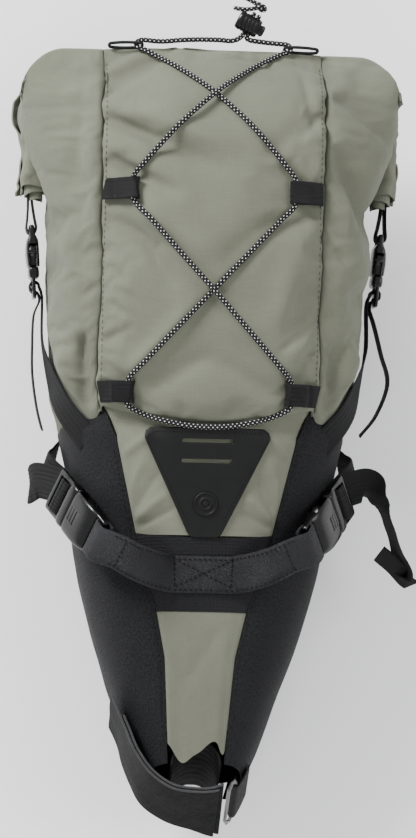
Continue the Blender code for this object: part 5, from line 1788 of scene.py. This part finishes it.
def make_patch():
    patch = from_node("reflector_patch", "light_patch", RUBBER, 0.0005, 2)
    tree = surface_tree(holster["upper"])
    plane_n = Vector((0, -0.21643, 0.9763))
    offset = 0.16054 - 0.002
    for v in patch.data.vertices:
        hit = tree.ray_cast(Vector((v.co.x, v.co.y, 0.3)), Vector((0, 0, -1)))[0]
        if hit is None:
            continue
        base = (offset - plane_n.y * v.co.y) / plane_n.z
        want = hit.z + 0.0002
        drop = min(want - base, 0.0)
        v.co.z += max(drop, -0.0050) * smooth_step(0.015, 0.040, abs(v.co.x))
    patch.data.update()
    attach(patch, "bag")
    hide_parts("light_patch")
    patch_tree = surface_tree(patch)
    top, tip = -0.0480, -0.1150
    corners = [(-0.0365, top), (0.0365, top), (0.0410, top - 0.0030), (0.0408, top - 0.0060),
               (0.0098, tip + 0.003), (0.0060, tip)]
    outline = [(0.0, top)] + corners[1:] + [(-x, y) for x, y in reversed(corners[2:])]
    outline += [corners[0], (0.0, top)]
    course = [(Vector((x, y, 0.165)), Vector((0, 0, -1))) for x, y in outline]
    stitches("patch_stitch", patch_tree, course, DARK_THREAD, 0.0019, 0.0009, 0.00030)

    centre_y = (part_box("patch_emblem")[0].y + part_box("patch_emblem")[1].y) / 2
    level = patch_tree.ray_cast(Vector((0, centre_y, 0.3)), Vector((0, 0, -1)))[0]
    profile = ((0.0, 0.9), (0.0016, 0.9), (0.0021, 0.35), (0.0026, 0.35), (0.0031, 1.0), (0.0045, 1.0),
               (0.0050, 0.45), (0.0066, 0.45), (0.0071, 1.2), (0.0080, 1.2), (0.0085, 0.8), (0.0086, -0.2))
    sides = 48
    x_axis = Vector((1, 0, 0))
    y_axis = plane_n.cross(x_axis).normalized()
    points = [level + plane_n * 0.0009]
    for radius, height in profile[1:]:
        for s in range(sides):
            a = 2 * math.pi * s / sides
            points.append(level + (x_axis * math.cos(a) + y_axis * math.sin(a)) * radius + plane_n * height * 0.001)
    faces = [(0, 1 + s, 1 + (s + 1) % sides) for s in range(sides)]
    for r in range(len(profile) - 2):
        for s in range(sides):
            t = (s + 1) % sides
            faces.append((1 + r * sides + s, 1 + (r + 1) * sides + s, 1 + (r + 1) * sides + t,
                          1 + r * sides + t))
    faces.append(tuple(1 + (len(profile) - 2) * sides + s for s in range(sides)))
    emblem = mesh_object("patch_disc", points, faces, RUBBER, None, 50.0)
    fix_normals(emblem)
    soften(emblem, 0.00012, 2, 40.0)
    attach(emblem, "bag")
    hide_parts("patch_emblem")


# ---------------------------------------------------------------- cord lock and knot


SPRING_RADIUS, SPRING_WIRE, SPRING_TURNS, SPRING_FOOT, SPRING_TOP = 0.0017, 0.00025, 2.5, -0.00885, -0.00525


def make_lock_spring(place):
    """The coil under the cord lock's button, built at one fixed length."""
    points = []
    for k in range(81):
        angle = 2 * math.pi * SPRING_TURNS * k / 80
        travel = SPRING_FOOT + (SPRING_TOP - SPRING_FOOT) * k / 80
        spot = (LOCK_LENGTH / 2 + SPRING_RADIUS * math.cos(angle), travel, SPRING_RADIUS * math.sin(angle))
        points.append(place @ Vector(spot))
    spring = tube("cord_stop_spring", points, SPRING_WIRE, STEEL, sides=8, spacing=0.0003)
    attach(spring, "bag")
    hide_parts("cord_lock_spring")
    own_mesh(spring)


def make_lock():
    place = lock_frame()
    turned = place @ Matrix(((0, -1, 0, LOCK_LENGTH / 2), (1, 0, 0, 0), (0, 0, 1, 0), (0, 0, 0, 1)))
    rings = [(-10.3, 4.6, -3.2, 3.2), (-10.0, 5.6, -4.2, 4.2), (-9.2, 6.3, -4.8, 4.8)]
    for k in range(5):
        y = -8.0 + k * 2.7
        rings += [(y, 6.55, -5.05, 5.05), (y + 0.9, 6.7, -5.2, 5.2), (y + 1.7, 6.7, -5.2, 5.2),
                  (y + 2.1, 6.2, -4.75, 4.75)]
    rings += [(5.9, 6.2, -4.8, 4.8), (6.3, 5.4, -4.1, 4.1)]
    body = loft_block("cord_stop_body", rings, turned, 1.0, PLASTIC, 2.6, 36)
    carve(
        body,
        (((2.4, -9.0, -3.3), (11.1, 9, 3.3)), ((-2, -4.1, -2.3), (17, 4.1, 2.3))),
        place, 1.0,
    )
    soften(body, 0.0002, 2)
    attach(body, "bag")
    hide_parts("cord_lock_body")
    rings = [(-4.9, 3.6, -2.4, 2.4), (-4.6, 4.0, -2.8, 2.8), (6.8, 4.1, -2.9, 2.9), (7.4, 4.1, -2.9, 2.9)]
    rings += [(8.8, 3.95, -2.8, 2.8), (9.7, 3.4, -2.3, 2.3), (10.15, 2.4, -1.5, 1.5), (10.2, 1.2, -0.7, 0.7)]
    button = loft_block("cord_stop_button", rings, turned, 1.0, PLASTIC, 3.2, 32)
    carve(button, (((-2, -3.95, -2.15), (17, 7.6, 2.15)),), place, 1.0)
    soften(button, 0.00018, 2)
    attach(button, "cord_lock_push")
    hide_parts("cord_lock_button")
    make_lock_spring(place)

    centre = place @ Vector((LOCK_LENGTH + 0.0074, 0.0, 0.0))
    points = []
    for k in range(61):
        t = 2 * math.pi * k / 60
        spot = Vector((math.sin(3 * t) * 1.3, (2 + math.cos(3 * t)) * math.cos(2 * t),
                       (2 + math.cos(3 * t)) * math.sin(2 * t)))
        points.append(centre + (place.to_3x3() @ spot) * 0.00105)
    knot = tube("cord_knot", points, 0.00155, CORD, sides=14, spacing=0.0007, cyclic=True)
    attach(knot, "bag")
    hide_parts("stopper_knot")
    for k, rise in enumerate((0.0018, -0.0022)):
        start = centre + Vector((-0.0020, rise * 0.5 + 0.0008, rise * 0.5))
        end = centre + Vector((-0.0177 - 0.001 * k, rise + 0.0049 - 0.0030 * k, rise * 1.5))
        bend = start.lerp(end, 0.5) + Vector((0, 0.0012 - 0.0024 * k, 0.0008))
        made = tube(f"cord_tail_{k + 1}", smooth_path([start, bend, end], 8), CORD_RADIUS * 0.9, CORD)
        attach(made, "bag")
        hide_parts(f"cord_end_{k + 1}")


# ---------------------------------------------------------------- seat-post end

POST_RADIUS, POST_Y, POST_TOP_Z, POST_LEAN = 0.0150, -0.2735, 0.0965, 0.62
STRAP_HEIGHT, BAND_THICKNESS = 0.043, 0.0016
BAND_UPPER = (
    (-0.0500, -0.2400), (-0.0455, -0.2500), (-0.0395, -0.2635), (-0.0292, -0.2775), (-0.0150, -0.2870),
    (0.0000, -0.2893),
    (0.0110, -0.2890), (0.0195, -0.2862),
)
BAND_LOWER = (
    (-0.0490, -0.2620), (-0.0455, -0.2740), (-0.0400, -0.2870), (-0.0328, -0.3002), (-0.0180, -0.3108),
    (0.0000, -0.3165),
    (0.0115, -0.3200), (0.0200, -0.3215),
)


def band_grid(upper, lower, outset, rows=26, cols=90, ripple=0.0):
    lines = []
    for edge in (upper, lower):
        fine = smooth_path([Vector((x, y, 0)) for x, y in edge], 6)
        along = distances(fine)
        wanted = np.linspace(0, along[-1], cols + 1)
        xs, ys = ([p[k] for p in fine] for k in (0, 1))
        lines.append([Vector((np.interp(w, along, xs), np.interp(w, along, ys), 0)) for w in wanted])
    grid = []
    for c in range(cols + 1):
        row = []
        for r in range(rows + 1):
            share = r / rows
            here, after, before = (lines[0][k].lerp(lines[1][k], share) for k in (c, min(c + 1, cols),
                max(c - 1, 0)))
            tangent = (after - before).normalized()
            outward = Vector((tangent.y, -tangent.x, 0))
            height = POST_TOP_Z - 0.002 - STRAP_HEIGHT * share
            wave = ripple * wave_noise(here.x, here.y, height, 60.0, 3.3)
            row.append(here + outward * (outset + wave) + Vector((0, 0, height)))
        grid.append(row)
    return grid


def make_band(name, upper, lower, lift, body, node):
    grid = band_grid(upper, lower, lift + BAND_THICKNESS, ripple=0.0007)
    inner = band_grid(upper, lower, lift, ripple=0.0007)
    points = [p for g in (grid, inner) for row in g for p in row]
    made = mesh_object(name, points, slab_faces(len(grid), len(grid[0])), FELT, None, 60.0)
    fix_normals(made)
    soften(made, 0.0004, 2, 50.0)
    box_uv(made)
    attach(made, body)
    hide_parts(node)
    middle = band_grid(upper, lower, lift + BAND_THICKNESS / 2)
    path = [row[0] + Vector((0, 0, 0.0004)) for row in middle]
    bead = tube(f"{name}_binding", path, 0.00095, EDGE_BINDING, sides=10)
    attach(bead, body)
    return made


def make_nose():
    make_band("post_strap", BAND_UPPER, BAND_LOWER, 0.0, "bag", "seatpost_strap")
    flap_upper = ((-0.0565, -0.2250),) + BAND_UPPER[:-1] + ((0.0160, -0.2878),)
    flap_lower = ((-0.0555, -0.2480),) + BAND_LOWER[:-1] + ((0.0165, -0.3210),)
    make_band("post_strap_flap", flap_upper, flap_lower, BAND_THICKNESS + 0.0008, "strap_flap",
              "seatpost_strap_flap")
    rows, cols = 30, 28
    radius, thickness = POST_RADIUS + 0.0008, 0.0018
    pad_low, pad_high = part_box("seatpost_pad")
    points = []
    for layer in (0, 1):
        for r in range(rows + 1):
            down = POST_TOP_Z - pad_high.z + (pad_high.z - pad_low.z) * r / rows
            margin = 0.30 * smooth_step(0.030, 0.050, down)
            ridge_height = 0.0004 * (0.5 + 0.5 * math.sin(r * 1.9))
            for c in range(cols + 1):
                angle = margin + (math.pi - 2 * margin) * c / cols
                reach = radius + (thickness if layer else ridge_height)
                x = reach * math.cos(angle)
                y = POST_Y + reach * math.sin(angle) - POST_LEAN * down
                points.append(Vector((x, y, POST_TOP_Z - down)))
    pad = mesh_object("post_pad", points, slab_faces(rows + 1, cols + 1), PAD_RUBBER, None, 50.0)
    fix_normals(pad)
    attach(pad, "bag")
    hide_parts("seatpost_pad")
    tab = from_node("ring_holder", "ring_tab", WEBBING, 0.0005, 3)
    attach(tab, "bag")
    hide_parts("ring_tab")


def make_liner():
    rings, sides = 60, 60
    points = []
    start, end = -0.236, 0.182
    for r in range(rings + 1):
        y = start + (end - start) * r / rings
        taper = 1 - 0.9 * (1 - smooth_step(0.0, 0.05, r / rings)) ** 2 - 0.9 * smooth_step(0.95, 1.0,
            r / rings) ** 2
        for s in range(sides):
            angle = 2 * math.pi * s / sides
            spot = skin(y, angle, -0.0105)
            spot = skin(y, angle, -0.0105 + 0.0012 * wave_noise(spot.x, spot.y, spot.z, 45.0, 5.0))
            middle = skin(y, math.pi / 2).lerp(skin(y, -math.pi / 2), 0.5)
            points.append(middle.lerp(spot, taper))
    liner = mesh_object("dry_liner", points, ring_faces(rings + 1, sides), LINER)
    fix_normals(liner)
    box_uv(liner)
    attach(liner, "bag")
    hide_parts("inner_dry_bag")


def make_seams():
    """Thread along the sack's two long seams and the holster's panel edges."""
    down = Vector((0, 0, -1))
    for sign, label in ((1, "right"), (-1, "left")):
        x = SACK_SEAM - 0.0016
        course = [(on_top(x, y, 0.004), down) for y in np.linspace(0.206, -0.034, 60)]
        course = [(Vector((p.x * sign, p.y, p.z)), look) for p, look in course]
        stitches(f"sack_seam_stitch_{label}", sack_tree, course, GREEN_THREAD, 0.0027, 0.0014, 0.00024)
        tree = surface_tree(holster[label])
        marks = np.linspace(-0.060, -0.250, 60)
        course = [(on_top(seam_x(y) + 0.0030, y, 0.003), down) for y in marks]
        course = [(Vector((p.x * sign, p.y, p.z)), look) for p, look in course]
        stitches(f"holster_seam_stitch_{label}", tree, course, DARK_THREAD, 0.0027, 0.0012, 0.00024)


PAD_RUBBER = moulded_material("pad_rubber", (0.0012, 0.0012, 0.0013), (0.0030, 0.0030, 0.0032), (0.6, 0.8),
                              900.0, 0.00006, shine=0.15)
EDGE_BINDING = webbing_material("strap_binding", (0.045, 0.045, 0.047), (0.110, 0.110, 0.113), 0.0012)

make_cord()
make_loops()
make_side_closures()
make_rail_straps()
make_patch()
make_lock()
make_nose()
make_liner()
make_seams()

# ---------------------------------------------------------------- materials of the pieces that stay

MATERIALS = {
    "light_patch": RUBBER,
    "patch_emblem": RUBBER,
    "seatpost_pad": RUBBER,
    "closure_stiffener": SHEET,
    "underside_stiffener": SHEET,
    "inner_dry_bag": LINER,
    "strap_ring": STEEL,
    "cord_lock_spring": STEEL,
    "rail_strap": LEATHER,
    "elastic_cord": CORD,
    "stopper_knot": CORD,
    "seatpost_strap": FELT,
    "seatpost_strap_flap": FELT,
}
for node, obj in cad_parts.items():
    mat = MATERIALS.get(node)
    if mat is None:
        mat = PLASTIC if "buckle" in node or "lock" in node else WEBBING
    obj.data.materials.clear()
    obj.data.materials.append(mat)
